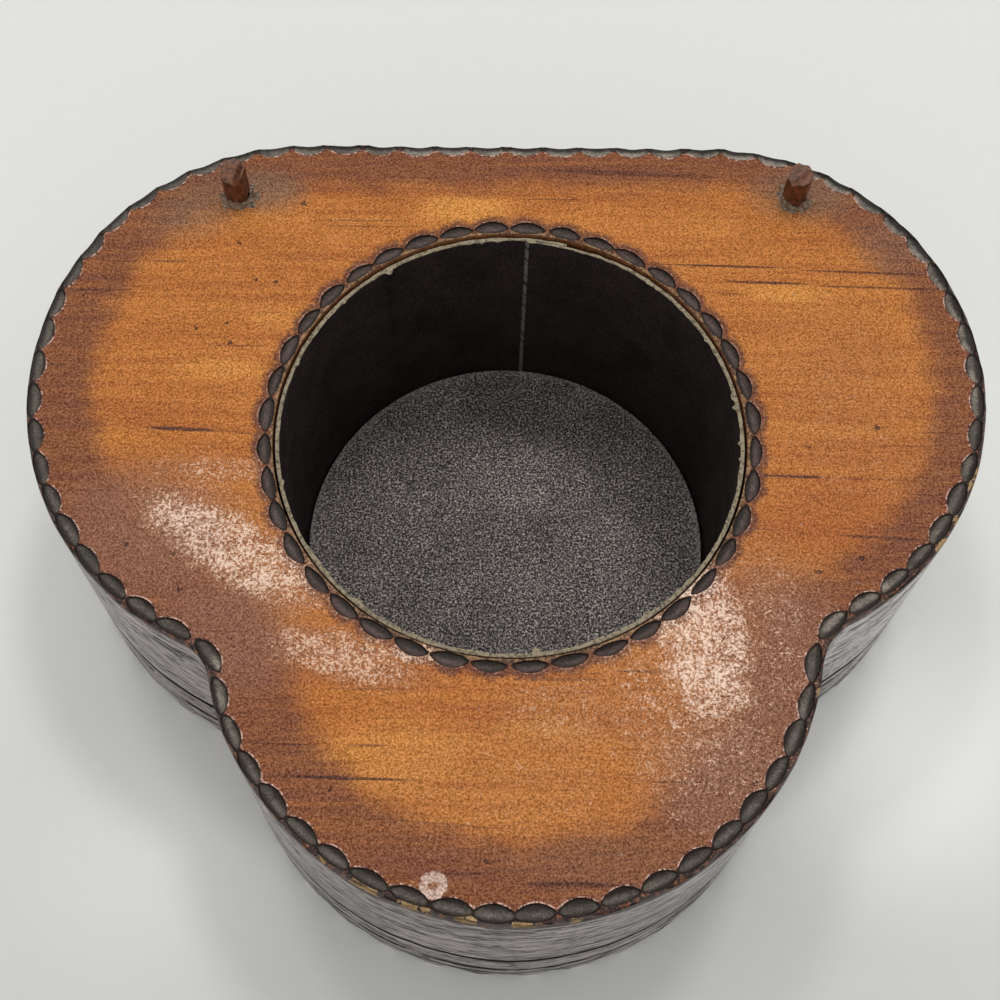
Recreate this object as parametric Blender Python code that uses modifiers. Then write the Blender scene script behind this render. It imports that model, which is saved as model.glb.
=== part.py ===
"""Carved trinket box.

A three-lobed wooden block with a straight back is bored through for a round well, and a thin board
closes it below. A strip of flocked card, lapped at the back, lines the well's wall, and a flocked disc
with a turned-up border lines its floor. Two whittled pegs stand in the back corners, each glued in a
blind hole: they located the lid, which is lost. Gouged nicks run round both outer edges and the rim.

The origin is on the well's axis, on the underside. +X runs along the straight back, +Y points to the
back and +Z is up. Lengths are in metres and angles in radians.
"""

import math

import bmesh
import bpy
from mathutils import Matrix, Vector

# Clearance between touching pieces, and how far a cutter runs past what it cuts
FIT_GAP = 0.0003
CUT_OVERRUN = 0.002
WELD_DISTANCE = 0.000001

# Block and board, seen in plan: three round lobes, two valleys and a straight back. Each side lobe has
# a tighter shoulder, from this angle on to the back
BOX_HEIGHT = 0.044
BOARD_THICKNESS = 0.0032
LEFT_LOBE_CENTRE = Vector((-0.0244, 0.0086))
LEFT_LOBE_RADIUS = 0.0449
LEFT_SHOULDER_ANGLE = math.radians(150)
LEFT_SHOULDER_RADIUS = 0.0376
RIGHT_LOBE_CENTRE = Vector((0.0257, 0.0097))
RIGHT_LOBE_RADIUS = 0.0431
RIGHT_SHOULDER_ANGLE = math.radians(30)
RIGHT_SHOULDER_RADIUS = 0.0376
FRONT_LOBE_CENTRE = Vector((0.0007, -0.0266))
FRONT_LOBE_RADIUS = 0.0419
LEFT_VALLEY_RADIUS = 0.0072
RIGHT_VALLEY_RADIUS = 0.0085
WORN_ARRIS = 0.0004
ARC_STEP = math.radians(6)
SHARP_ANGLE = math.radians(30)

# Well and its lining
WELL_RADIUS = 0.0337
WELL_FACETS = 96
LINER_THICKNESS = 0.0006
LINER_DROP = 0.0005
SEAM_ANGLE = math.radians(85.5)
SEAM_LAP = 0.006
SEAM_EASING = 0.014
FLOOR_THICKNESS = 0.0004
FLOOR_BORDER_WIDTH = 0.0008
FLOOR_BORDER_RISE = 0.0007

# Burnt lines round the wall, by their height above the underside, lowest first
BURNT_LINE_HEIGHTS = (0.0068, 0.015)
BURNT_LINE_WIDTH = 0.0006
BURNT_LINE_CUT = 0.0004

# Gouged nicks: pitch along the edge, length, width and depth of the gouge's cut, and how far its middle
# lies in from the edge. A cut's widest level is a little above the face that it is made in
EDGE_NICK_PITCH = 0.00555
EDGE_NICK_LENGTH = 0.0062
EDGE_NICK_WIDTH = 0.0021
EDGE_NICK_DEPTH = 0.001
EDGE_NICK_INSET = 0.001
RIM_NICK_PITCH = 0.0052
RIM_NICK_LENGTH = 0.0054
RIM_NICK_WIDTH = 0.0018
RIM_NICK_DEPTH = 0.001
RIM_NICK_INSET = 0.0009
FOOT_NICK_PITCH = 0.0073
FOOT_NICK_LENGTH = 0.0058
FOOT_NICK_WIDTH = 0.003
FOOT_NICK_DEPTH = 0.0012
FOOT_NICK_INSET = 0.0003
NICK_LIFT = 0.00015
NICK_FACETS = 8
NICK_RINGS = 5

# Lid pegs: direction from the shoulder's centre, and distance in from its edge
LEFT_PEG_ANGLE = math.radians(111.1)
LEFT_PEG_INSET = 0.0079
LEFT_PEG_STAND = 0.007
LEFT_PEG_LEAN = math.radians(14)
RIGHT_PEG_ANGLE = math.radians(65.4)
RIGHT_PEG_INSET = 0.0066
RIGHT_PEG_STAND = 0.0065
RIGHT_PEG_LEAN = math.radians(-6)
PEG_DIAMETER = 0.0043
PEG_TIP_DIAMETER = 0.004
PEG_SEAT_DEPTH = 0.012
PEG_FACETS = 8
HOLE_FACETS = 24

# Bead of glue round each peg
GLUE_WIDTH = 0.0017
GLUE_HEIGHT = 0.0011
GLUE_SLOPE_STEPS = 4
GLUE_FACETS = 24

# Colours from the finish of each piece
PINE = (0.43, 0.15, 0.04)
DARK_LACQUER = (0.09, 0.05, 0.05)
BLACK_FLOCK = (0.012, 0.012, 0.013)
GREY_FLOCK = (0.06, 0.06, 0.062)
PEG_WOOD = (0.13, 0.05, 0.025)
DRY_GLUE = (0.34, 0.28, 0.2)


def finish(name, colour, roughness):
    """A painted or natural finish with this colour."""
    material = bpy.data.materials.new(name)
    material.use_nodes = True
    surface = material.node_tree.nodes["Principled BSDF"]
    surface.inputs["Base Color"].default_value = (*colour, 1)
    surface.inputs["Roughness"].default_value = roughness
    surface.inputs["Metallic"].default_value = 0
    return material


def valley_centre(first, first_radius, second, second_radius, radius):
    """Centre of the arc that touches two lobes from outside, to the right of the way between them."""
    span = (second - first).length
    to_first = first_radius + radius
    to_second = second_radius + radius
    along = (to_first**2 - to_second**2 + span**2) / (2 * span)
    across = math.sqrt(to_first**2 - along**2)
    way = (second - first).normalized()
    return first + way * along + Vector((way.y, -way.x)) * across


def angle_to(centre, point):
    """Direction of a point from a centre, in the plan."""
    return math.atan2(point.y - centre.y, point.x - centre.x)


def around(radius, angle):
    """The point at this radius and angle from the origin of the plan."""
    return Vector((math.cos(angle), math.sin(angle))) * radius


def arc(centre, radius, start, end, turn):
    """Points of an arc from one angle to another, counter-clockwise where turn is 1 and clockwise at -1."""
    sweep = turn * ((turn * (end - start)) % math.tau)
    steps = math.ceil(abs(sweep) / ARC_STEP)
    return [centre + around(radius, start + sweep * step / steps) for step in range(steps + 1)]


def shoulder_centres():
    """Centres of the left and right shoulder, which touch their lobes from inside."""
    left_reach = LEFT_LOBE_RADIUS - LEFT_SHOULDER_RADIUS
    right_reach = RIGHT_LOBE_RADIUS - RIGHT_SHOULDER_RADIUS
    left = LEFT_LOBE_CENTRE + around(left_reach, LEFT_SHOULDER_ANGLE)
    right = RIGHT_LOBE_CENTRE + around(right_reach, RIGHT_SHOULDER_ANGLE)
    return left, right


def outline(inset):
    """The plan of the box, counter-clockwise from the left valley, moved in from the edge by inset."""
    front = FRONT_LOBE_CENTRE
    right = RIGHT_LOBE_CENTRE
    left = LEFT_LOBE_CENTRE
    left_shoulder, right_shoulder = shoulder_centres()
    right_valley = valley_centre(front, FRONT_LOBE_RADIUS, right, RIGHT_LOBE_RADIUS, RIGHT_VALLEY_RADIUS)
    left_valley = valley_centre(left, LEFT_LOBE_RADIUS, front, FRONT_LOBE_RADIUS, LEFT_VALLEY_RADIUS)
    # The straight back touches both shoulders, and this is the direction that it faces
    span = (left_shoulder - right_shoulder).length
    tilt = math.acos((RIGHT_SHOULDER_RADIUS - LEFT_SHOULDER_RADIUS) / span)
    back = angle_to(right_shoulder, left_shoulder) - tilt
    front_edge = FRONT_LOBE_RADIUS - inset
    right_edge = RIGHT_LOBE_RADIUS - inset
    right_bend = RIGHT_SHOULDER_RADIUS - inset
    left_bend = LEFT_SHOULDER_RADIUS - inset
    left_edge = LEFT_LOBE_RADIUS - inset
    right_notch = RIGHT_VALLEY_RADIUS + inset
    left_notch = LEFT_VALLEY_RADIUS + inset
    arcs = (
        arc(front, front_edge, angle_to(front, left_valley), angle_to(front, right_valley), 1),
        arc(right_valley, right_notch, angle_to(right_valley, front), angle_to(right_valley, right), -1),
        arc(right, right_edge, angle_to(right, right_valley), RIGHT_SHOULDER_ANGLE, 1),
        arc(right_shoulder, right_bend, RIGHT_SHOULDER_ANGLE, back, 1),
        arc(left_shoulder, left_bend, back, LEFT_SHOULDER_ANGLE, 1),
        arc(left, left_edge, LEFT_SHOULDER_ANGLE, angle_to(left, left_valley), 1),
        arc(left_valley, left_notch, angle_to(left_valley, left), angle_to(left_valley, front), -1),
    )
    # Each arc ends where the next begins, but for the two on either side of the straight back
    points = [point for points_of_arc in arcs for point in points_of_arc]
    return [point for index, point in enumerate(points) if (point - points[index - 1]).length > WELD_DISTANCE]


def ring(radius, facets):
    """Points of a circle about the well's axis, counter-clockwise."""
    return [around(radius, math.tau * facet / facets) for facet in range(facets)]


def stations(points, pitch):
    """Evenly spaced places along a closed outline, about a pitch apart: each a point and the way out.

    The first lies half a step on from the outline's first corner, so that none falls on it. Their number
    is even, so that every other place all the way round leaves no two neighbours together.
    """
    ends = points[1:] + points[:1]
    lengths = [(end - start).length for start, end in zip(points, ends)]
    pairs = round(sum(lengths) / (2 * pitch))
    spacing = sum(lengths) / (2 * pairs)
    places = []
    ahead = spacing / 2
    for start, end, length in zip(points, ends, lengths):
        way = (end - start) / length
        while ahead < length:
            places.append((start + way * ahead, Vector((way.y, -way.x))))
            ahead += spacing
        ahead -= length
    return places


def link(name, data, collection):
    """A new object of this name in the collection."""
    body = bpy.data.objects.new(name, data)
    collection.objects.link(body)
    return body


def path_curve(name, points, cyclic, height, collection):
    """A flat curve through these points, at a height."""
    curve = bpy.data.curves.new(name, "CURVE")
    curve.dimensions = "2D"
    curve.fill_mode = "BOTH"
    spline = curve.splines.new("POLY")
    spline.points.add(len(points) - 1)
    spline.use_cyclic_u = cyclic
    for target, point in zip(spline.points, points):
        target.co = (point.x, point.y, 0, 1)
    drawn = link(name, curve, collection)
    drawn.location.z = height
    return drawn


def as_mesh(name, work, collection):
    """A mesh object made from a bmesh."""
    mesh = bpy.data.meshes.new(name)
    work.to_mesh(mesh)
    work.free()
    return link(name, mesh, collection)


def loft(name, wall, collection):
    """A block of the box's plan, raised through its wall's profile: steps of height and inset."""
    work = bmesh.new()
    rings = []
    for height, inset in wall:
        rings.append([work.verts.new((point.x, point.y, height)) for point in outline(inset)])
    for below, above in zip(rings, rings[1:]):
        for corner in range(len(below)):
            work.faces.new((below[corner - 1], below[corner], above[corner], above[corner - 1]))
    work.faces.new(reversed(rings[0]))
    work.faces.new(rings[-1])
    return as_mesh(name, work, collection)


def round_cutter(name, centre, radius, low, high, facets, cutters):
    """An upright cylinder that bores a hole."""
    bpy.ops.mesh.primitive_cylinder_add(vertices=facets, radius=radius, depth=high - low)
    cutter = bpy.context.active_object
    cutter.name = name
    cutter.location = (centre.x, centre.y, (low + high) / 2)
    for holder in cutter.users_collection:
        holder.objects.unlink(cutter)
    cutters.objects.link(cutter)
    return cutter


def gouge_row(name, places, height, up, size, cutters):
    """Two cutters that hold every other gouge of a row, so that no gouge meets the next in its cutter.

    A gouge is a lens-shaped hollow with pointed ends that lies along the edge, and size holds its length,
    its width, its depth and how far in from the edge it lies. up is 1 on an upper face and -1 on a lower.
    """
    length, width, depth, inset = size
    row = []
    for parity in (0, 1):
        work = bmesh.new()
        for place, out in places[parity::2]:
            side = out.to_3d()
            rise = Vector((0, 0, up))
            along = side.cross(rise)
            centre = place.to_3d() + rise * (height * up + NICK_LIFT) - side * inset
            shape = Matrix((side * width / 2, rise * (depth + NICK_LIFT), along * length / 2)).transposed()
            lens = bmesh.ops.create_uvsphere(
                work, u_segments=NICK_FACETS, v_segments=NICK_RINGS, radius=1
            )["verts"]
            for vertex in lens:
                # The sphere's outline is drawn in to a parabola, which ends in a point
                narrow = math.sqrt(max(1 - vertex.co.z**2, 0))
                vertex.co = centre + shape @ Vector((vertex.co.x * narrow, vertex.co.y * narrow, vertex.co.z))
        row.append(as_mesh(f"{name}_{parity}", work, cutters))
    return row


def cut(body, cutter):
    """Cut a piece by another shape, which stays as a helper that isn't rendered."""
    modifier = body.modifiers.new(cutter.name, "BOOLEAN")
    modifier.operation = "DIFFERENCE"
    modifier.solver = "EXACT"
    modifier.object = cutter
    cutter.hide_render = True
    cutter.display_type = "WIRE"


def shade(body):
    """Shade round sides smooth, and keep every sharper edge."""
    if body.type == "MESH":
        body.data.shade_smooth()
        body.data.set_sharp_from_angle(angle=SHARP_ANGLE)


def peg_place(centre, radius, angle, inset):
    """Where a peg stands, in from its shoulder's edge."""
    return centre + around(radius - inset, angle)


def carved_block(parts, cutters):
    """The block: bored through, drilled for the pegs, lined round the wall and nicked along its edges."""
    low = BOARD_THICKNESS + FIT_GAP
    wall = [(low, 0)]
    for line in BURNT_LINE_HEIGHTS:
        wall.append((line - BURNT_LINE_WIDTH / 2, 0))
        wall.append((line, BURNT_LINE_CUT))
        wall.append((line + BURNT_LINE_WIDTH / 2, 0))
    wall.append((BOX_HEIGHT - WORN_ARRIS, 0))
    wall.append((BOX_HEIGHT, WORN_ARRIS))
    block = loft("body_block", wall, parts)
    top = BOX_HEIGHT + CUT_OVERRUN
    axis = Vector((0, 0))
    cut(block, round_cutter("well_bore", axis, WELL_RADIUS, low - CUT_OVERRUN, top, WELL_FACETS, cutters))
    for name, place in peg_places().items():
        hole = PEG_DIAMETER / 2 + FIT_GAP
        seat = BOX_HEIGHT - PEG_SEAT_DEPTH
        cut(block, round_cutter(name + "_hole", place, hole, seat, top, HOLE_FACETS, cutters))
    # Round the well, out of the wood is towards the axis
    edge = stations(outline(0), EDGE_NICK_PITCH)
    rim = [(place, -out) for place, out in stations(ring(WELL_RADIUS, WELL_FACETS), RIM_NICK_PITCH)]
    edge_size = (EDGE_NICK_LENGTH, EDGE_NICK_WIDTH, EDGE_NICK_DEPTH, EDGE_NICK_INSET)
    rim_size = (RIM_NICK_LENGTH, RIM_NICK_WIDTH, RIM_NICK_DEPTH, RIM_NICK_INSET)
    gouges = gouge_row("edge_nicks", edge, BOX_HEIGHT, 1, edge_size, cutters)
    gouges += gouge_row("rim_nicks", rim, BOX_HEIGHT, 1, rim_size, cutters)
    for gouge in gouges:
        cut(block, gouge)
    return block


def base_board(parts, cutters):
    """The thin board under the block, sawn to the same plan and nicked along its lower edge."""
    board = loft("base_board", [(0, 0), (BOARD_THICKNESS, 0)], parts)
    foot = stations(outline(0), FOOT_NICK_PITCH)
    size = (FOOT_NICK_LENGTH, FOOT_NICK_WIDTH, FOOT_NICK_DEPTH, FOOT_NICK_INSET)
    gouges = gouge_row("foot_nicks", foot, 0, -1, size, cutters)
    for gouge in gouges:
        cut(board, gouge)
    return board


def lap_draw_in(angle):
    """How far the strip has moved in from the bore, at an angle past its hidden end."""
    seam_radius = WELL_RADIUS - FIT_GAP
    lap_starts = math.tau
    eased_from = lap_starts - SEAM_EASING / seam_radius
    share = min(max((angle - eased_from) / (lap_starts - eased_from), 0), 1)
    return (LINER_THICKNESS + FIT_GAP) * share * share * (3 - 2 * share)


def wall_liner(parts):
    """A strip of flocked card, bent round the bore. Its inner end laps over the hidden one at the seam."""
    seam_radius = WELL_RADIUS - FIT_GAP
    lap = SEAM_LAP / seam_radius
    middle = seam_radius - LINER_THICKNESS / 2
    path = []
    for step in range(WELL_FACETS + 1):
        angle = (math.tau + lap) * step / WELL_FACETS
        path.append(around(middle - lap_draw_in(angle), SEAM_ANGLE - lap + angle))
    low = BOARD_THICKNESS + FIT_GAP
    high = BOX_HEIGHT - LINER_DROP
    strip = path_curve("wall_liner", path, False, (low + high) / 2, parts)
    strip.data.extrude = (high - low) / 2
    card = strip.modifiers.new("card", "SOLIDIFY")
    card.thickness = LINER_THICKNESS
    card.offset = 0
    card.use_even_offset = True
    return strip


def floor_liner(parts):
    """A flocked disc cut to the strip inside the well, its border turned up against the strip."""
    seam_radius = WELL_RADIUS - FIT_GAP
    lap = SEAM_LAP / seam_radius
    flat_inset = LINER_THICKNESS + FIT_GAP + FLOOR_BORDER_WIDTH
    rim = []
    for step in range(WELL_FACETS):
        angle = lap + math.tau * step / WELL_FACETS
        inside = seam_radius - flat_inset - max(lap_draw_in(angle), lap_draw_in(angle + math.tau))
        rim.append(around(inside, SEAM_ANGLE - lap + angle))
    drawn = path_curve("floor_outline", rim, True, BOARD_THICKNESS + FIT_GAP, parts)
    graph = bpy.context.evaluated_depsgraph_get()
    flat = bpy.data.meshes.new_from_object(drawn.evaluated_get(graph))
    place = drawn.matrix_world.copy()
    bpy.data.curves.remove(drawn.data)
    work = bmesh.new()
    work.from_mesh(flat)
    bmesh.ops.remove_doubles(work, verts=work.verts, dist=WELD_DISTANCE)
    border = [edge for edge in work.edges if edge.is_boundary]
    turned = bmesh.ops.extrude_edge_only(work, edges=border)["geom"]
    for vertex in turned:
        if isinstance(vertex, bmesh.types.BMVert):
            out = vertex.co.to_2d().normalized() * FLOOR_BORDER_WIDTH
            vertex.co += Vector((out.x, out.y, FLOOR_BORDER_RISE))
    # The sheet is the disc's underside, and its thickness is laid on the side that faces up
    for face in work.faces:
        face.normal_update()
        if face.normal.z < 0:
            face.normal_flip()
    disc = as_mesh("floor_liner", work, parts)
    disc.matrix_world = place
    flock = disc.modifiers.new("flock", "SOLIDIFY")
    flock.thickness = FLOOR_THICKNESS
    flock.offset = 1
    flock.use_even_offset = True
    return disc


def peg_places():
    """The plan position of each peg, by name."""
    left_shoulder, right_shoulder = shoulder_centres()
    left = peg_place(left_shoulder, LEFT_SHOULDER_RADIUS, LEFT_PEG_ANGLE, LEFT_PEG_INSET)
    right = peg_place(right_shoulder, RIGHT_SHOULDER_RADIUS, RIGHT_PEG_ANGLE, RIGHT_PEG_INSET)
    return {"peg_left": left, "peg_right": right}


def peg(name, place, stand, lean, parts):
    """A whittled peg, a little thinner at its tip, whose end is cut off askew."""
    low = BOX_HEIGHT - PEG_SEAT_DEPTH + FIT_GAP
    high = BOX_HEIGHT + stand
    spare = PEG_DIAMETER
    work = bmesh.new()
    bmesh.ops.create_cone(
        work,
        cap_ends=True,
        segments=PEG_FACETS,
        radius1=PEG_DIAMETER / 2,
        radius2=PEG_TIP_DIAMETER / 2,
        depth=high + spare - low,
        matrix=Matrix.Translation((0, 0, (high + spare + low) / 2)),
    )
    slope = Vector((math.sin(lean), 0, math.cos(lean)))
    everything = work.verts[:] + work.edges[:] + work.faces[:]
    cuts = bmesh.ops.bisect_plane(
        work, geom=everything, plane_co=(0, 0, high), plane_no=slope, clear_outer=True
    )["geom_cut"]
    bmesh.ops.edgeloop_fill(work, edges=[edge for edge in cuts if isinstance(edge, bmesh.types.BMEdge)])
    bmesh.ops.recalc_face_normals(work, faces=work.faces)
    body = as_mesh(name, work, parts)
    body.location = (place.x, place.y, 0)
    return body


def glue_bead(name, place, parts):
    """A turned fillet of glue round a peg, on the top face."""
    inner = PEG_DIAMETER / 2 + FIT_GAP
    low = BOX_HEIGHT + FIT_GAP
    work = bmesh.new()
    profile = []
    for step in range(GLUE_SLOPE_STEPS + 1):
        turn = math.pi / 2 * step / GLUE_SLOPE_STEPS
        reach = inner + GLUE_WIDTH * (1 - math.cos(turn))
        rise = low + GLUE_HEIGHT * (1 - math.sin(turn))
        profile.append(work.verts.new((reach, 0, rise)))
    profile.append(work.verts.new((inner, 0, low)))
    for start, end in zip(profile, profile[1:] + profile[:1]):
        work.edges.new((start, end))
    mesh = bpy.data.meshes.new(name)
    work.to_mesh(mesh)
    work.free()
    bead = link(name, mesh, parts)
    bead.location = (place.x, place.y, 0)
    turn = bead.modifiers.new("turn", "SCREW")
    turn.steps = GLUE_FACETS
    turn.render_steps = GLUE_FACETS
    turn.use_merge_vertices = True
    turn.merge_threshold = WELD_DISTANCE
    return bead


def main():
    for old in list(bpy.data.objects):
        bpy.data.objects.remove(old)
    parts = bpy.data.collections.new("trinket_box")
    cutters = bpy.data.collections.new("cutters")
    for collection in (parts, cutters):
        bpy.context.scene.collection.children.link(collection)
    pine = finish("stained_pine", PINE, 0.35)
    stain = finish("dark_stain", DARK_LACQUER, 0.35)
    black = finish("black_flock", BLACK_FLOCK, 0.95)
    grey = finish("grey_flock", GREY_FLOCK, 0.95)
    peg_wood = finish("peg_wood", PEG_WOOD, 0.6)
    glue = finish("dry_glue", DRY_GLUE, 0.5)
    places = peg_places()
    left = places["peg_left"]
    right = places["peg_right"]
    pieces = (
        (carved_block(parts, cutters), pine),
        (base_board(parts, cutters), stain),
        (wall_liner(parts), black),
        (floor_liner(parts), grey),
        (peg("peg_left", left, LEFT_PEG_STAND, LEFT_PEG_LEAN, parts), peg_wood),
        (peg("peg_right", right, RIGHT_PEG_STAND, RIGHT_PEG_LEAN, parts), peg_wood),
        (glue_bead("glue_bead_left", left, parts), glue),
        (glue_bead("glue_bead_right", right, parts), glue),
    )
    frame = link("box_frame", None, parts)
    for piece, material in pieces:
        piece.data.materials.append(material)
        piece.parent = frame
        shade(piece)


main()
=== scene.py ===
import math
import random

import bmesh
import bpy
import numpy as np
from bpy.props import FloatProperty, FloatVectorProperty, IntProperty, PointerProperty
from bpy.types import Operator, Panel, PropertyGroup
from mathutils import Matrix, Quaternion, Vector, noise
from mathutils.geometry import delaunay_2d_cdt
from mathutils.kdtree import KDTree


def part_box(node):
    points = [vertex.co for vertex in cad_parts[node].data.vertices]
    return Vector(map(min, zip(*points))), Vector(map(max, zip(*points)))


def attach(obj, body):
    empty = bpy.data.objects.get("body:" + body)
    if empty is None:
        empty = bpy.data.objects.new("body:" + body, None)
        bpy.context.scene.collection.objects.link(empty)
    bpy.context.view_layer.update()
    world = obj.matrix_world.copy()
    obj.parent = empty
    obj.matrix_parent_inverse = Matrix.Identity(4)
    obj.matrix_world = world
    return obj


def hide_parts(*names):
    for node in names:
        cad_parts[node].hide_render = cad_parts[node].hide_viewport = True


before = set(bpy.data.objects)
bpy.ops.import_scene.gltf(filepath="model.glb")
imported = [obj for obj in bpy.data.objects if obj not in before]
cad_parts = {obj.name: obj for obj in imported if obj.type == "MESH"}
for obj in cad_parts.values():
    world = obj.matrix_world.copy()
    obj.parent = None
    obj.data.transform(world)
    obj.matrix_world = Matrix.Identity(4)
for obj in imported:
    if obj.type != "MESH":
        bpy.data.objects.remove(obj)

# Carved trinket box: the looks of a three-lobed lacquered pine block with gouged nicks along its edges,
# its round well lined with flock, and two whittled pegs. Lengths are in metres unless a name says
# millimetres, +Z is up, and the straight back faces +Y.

bl_info = {
    "name": "Carved trinket box",
    "version": (1, 0, 0),
    "blender": (4, 5, 0),
    "location": "3D View > Sidebar > Trinket box",
    "description": "Builds the finished surfaces of a carved and lacquered wooden trinket box",
    "category": "Object",
}

BLOCK_LOW, BLOCK_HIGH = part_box("body_block")
BOARD_LOW, BOARD_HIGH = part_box("base_board")
STRIP_LOW, STRIP_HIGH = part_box("wall_liner")
DISC_LOW, DISC_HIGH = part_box("floor_liner")
MILLIMETRE = 0.001
WELD_DISTANCE = 0.000001

# Order of the finishes in the block's and the board's slots
TOP, WALL, HOLLOW, BORE = range(4)


def length(name, description, default):
    """A property that holds a length."""
    return FloatProperty(name=name, description=description, default=default, unit="LENGTH", precision=5)


def angle(name, description, degrees):
    """A property that holds an angle, given in degrees."""
    return FloatProperty(
        name=name, description=description, default=math.radians(degrees), subtype="ANGLE"
    )


def spot(name, description, default):
    """A property that holds a point of the plan, or of space where it has three numbers."""
    return FloatVectorProperty(
        name=name,
        description=description,
        default=default,
        size=len(default),
        subtype="XYZ",
        unit="LENGTH",
        precision=5,
    )


def number(name, description, default, unit="NONE"):
    """A property that holds a plain number, or one in this unit."""
    return FloatProperty(name=name, description=description, default=default, unit=unit)


def colour(name, description, default):
    """A property that holds a colour."""
    return FloatVectorProperty(
        name=name, description=description, default=default, size=3, subtype="COLOR", min=0, max=1
    )


class TrinketPlan(PropertyGroup):
    """The plan: three round lobes, two valleys and a straight back."""

    left_lobe: spot("Left lobe", "Centre of the left lobe", (-0.0244, 0.0086))
    left_radius: length("Left lobe radius", "Radius of the left lobe", 0.0449)
    left_turn: angle("Left shoulder angle", "Direction in which the left shoulder starts", 150)
    left_bend: length("Left shoulder radius", "Radius of the left shoulder", 0.0376)
    right_lobe: spot("Right lobe", "Centre of the right lobe", (0.0257, 0.0097))
    right_radius: length("Right lobe radius", "Radius of the right lobe", 0.0431)
    right_turn: angle("Right shoulder angle", "Direction in which the right shoulder starts", 30)
    right_bend: length("Right shoulder radius", "Radius of the right shoulder", 0.0376)
    front_lobe: spot("Front lobe", "Centre of the front lobe", (0.0007, -0.0266))
    front_radius: length("Front lobe radius", "Radius of the front lobe", 0.0419)
    left_valley: length("Left valley radius", "Radius of the hollow between left and front lobe", 0.0072)
    right_valley: length("Right valley radius", "Radius of the hollow between front and right lobe", 0.0085)
    fineness: length("Fineness", "Distance between the points along an edge", 0.0005)
    unevenness: length("Unevenness", "How far the sawn wall wanders from the plan", 0.00012)


class TrinketNicks(PropertyGroup):
    """The gouged rows along the upper edge, the rim of the well and the foot."""

    edge_pitch: length("Edge pitch", "Distance from one edge nick to the next", 0.00555)
    edge_length: length("Edge length", "Length of an edge nick's cut", 0.006)
    edge_width: length("Edge width", "Width of an edge nick's cut", 0.0023)
    edge_depth: length("Edge depth", "Depth of an edge nick's cut", 0.00095)
    edge_inset: length("Edge inset", "How far an edge nick's middle lies in from the edge", 0.00105)
    right_shift: length("Right shift", "How much further in the nicks lie at the right", 0.00018)
    front_shift: length("Front shift", "How much further in the nicks lie at the front", 0.0004)
    rim_pitch: length("Rim pitch", "Distance from one rim nick to the next", 0.0052)
    rim_length: length("Rim length", "Length of a rim nick's cut", 0.0056)
    rim_width: length("Rim width", "Width of a rim nick's cut", 0.002)
    rim_depth: length("Rim depth", "Depth of a rim nick's cut", 0.0009)
    rim_inset: length("Rim inset", "How far a rim nick's middle lies in from the rim", 0.001)
    foot_pitch: length("Foot pitch", "Distance from one foot nick to the next", 0.0073)
    foot_length: length("Foot length", "Length of a foot nick's cut", 0.0052)
    foot_width: length("Foot width", "Width of a foot nick's cut", 0.0036)
    foot_depth: length("Foot depth", "Depth of a foot nick's cut", 0.0019)
    foot_inset: length("Foot inset", "How far a foot nick's middle lies in from the edge", 0.0003)
    lift: length("Lift", "How far above the face a cut is widest", 0.00015)
    bow: length("Bow", "How far a cut bends away from the edge in its middle", 0.0003)
    taper: number("Taper", "How much a cut narrows towards its ends", 0.32)
    unlike: number("Unlike", "How unlike the cuts of the edge and of the rim are", 0.12)
    foot_unlike: number("Foot unlike", "How unlike the cuts of the foot are", 0.2)
    facets: IntProperty(name="Facets", description="Facets round a gouge's cut", default=28)
    rings: IntProperty(name="Rings", description="Rings along a gouge's cut", default=18)


class TrinketWall(PropertyGroup):
    """The burnt lines round the outer wall, and its worn upper arris."""

    line_width: length("Line width", "Width of a burnt line", 0.0012)
    line_cut: length("Line cut", "Depth of a burnt line", 0.0004)
    line_wander: length("Line wander", "How far a burnt line wanders up and down", 0.0006)
    row_step: length("Row step", "Height between the wall's plain rows", 0.0025)
    worn_arris: length("Worn arris", "How far the upper arris is worn off", 0.0004)


class TrinketLining(PropertyGroup):
    """The flocked strip and the flocked disc in the well."""

    well_radius: length("Well radius", "Radius of the bore", 0.0337)
    gap: length("Gap", "Clearance between the strip and the bore", 0.0003)
    thickness: length("Strip thickness", "Thickness of the flocked card", 0.0006)
    seam_angle: angle("Seam", "Where the strip's inner end lies", 85.5)
    seam_lap: length("Seam lap", "How far the strip's ends lap", 0.006)
    seam_easing: length("Seam easing", "Length over which the strip moves in before the lap", 0.014)
    lap_step: length("Lap step", "How far the strip's inner end stands in at the seam", 0.00042)
    raggedness: length("Raggedness", "How far the strip's cut edge is torn", 0.00018)
    border: length("Floor border", "Width of the disc's turned-up border", 0.0011)


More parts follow.
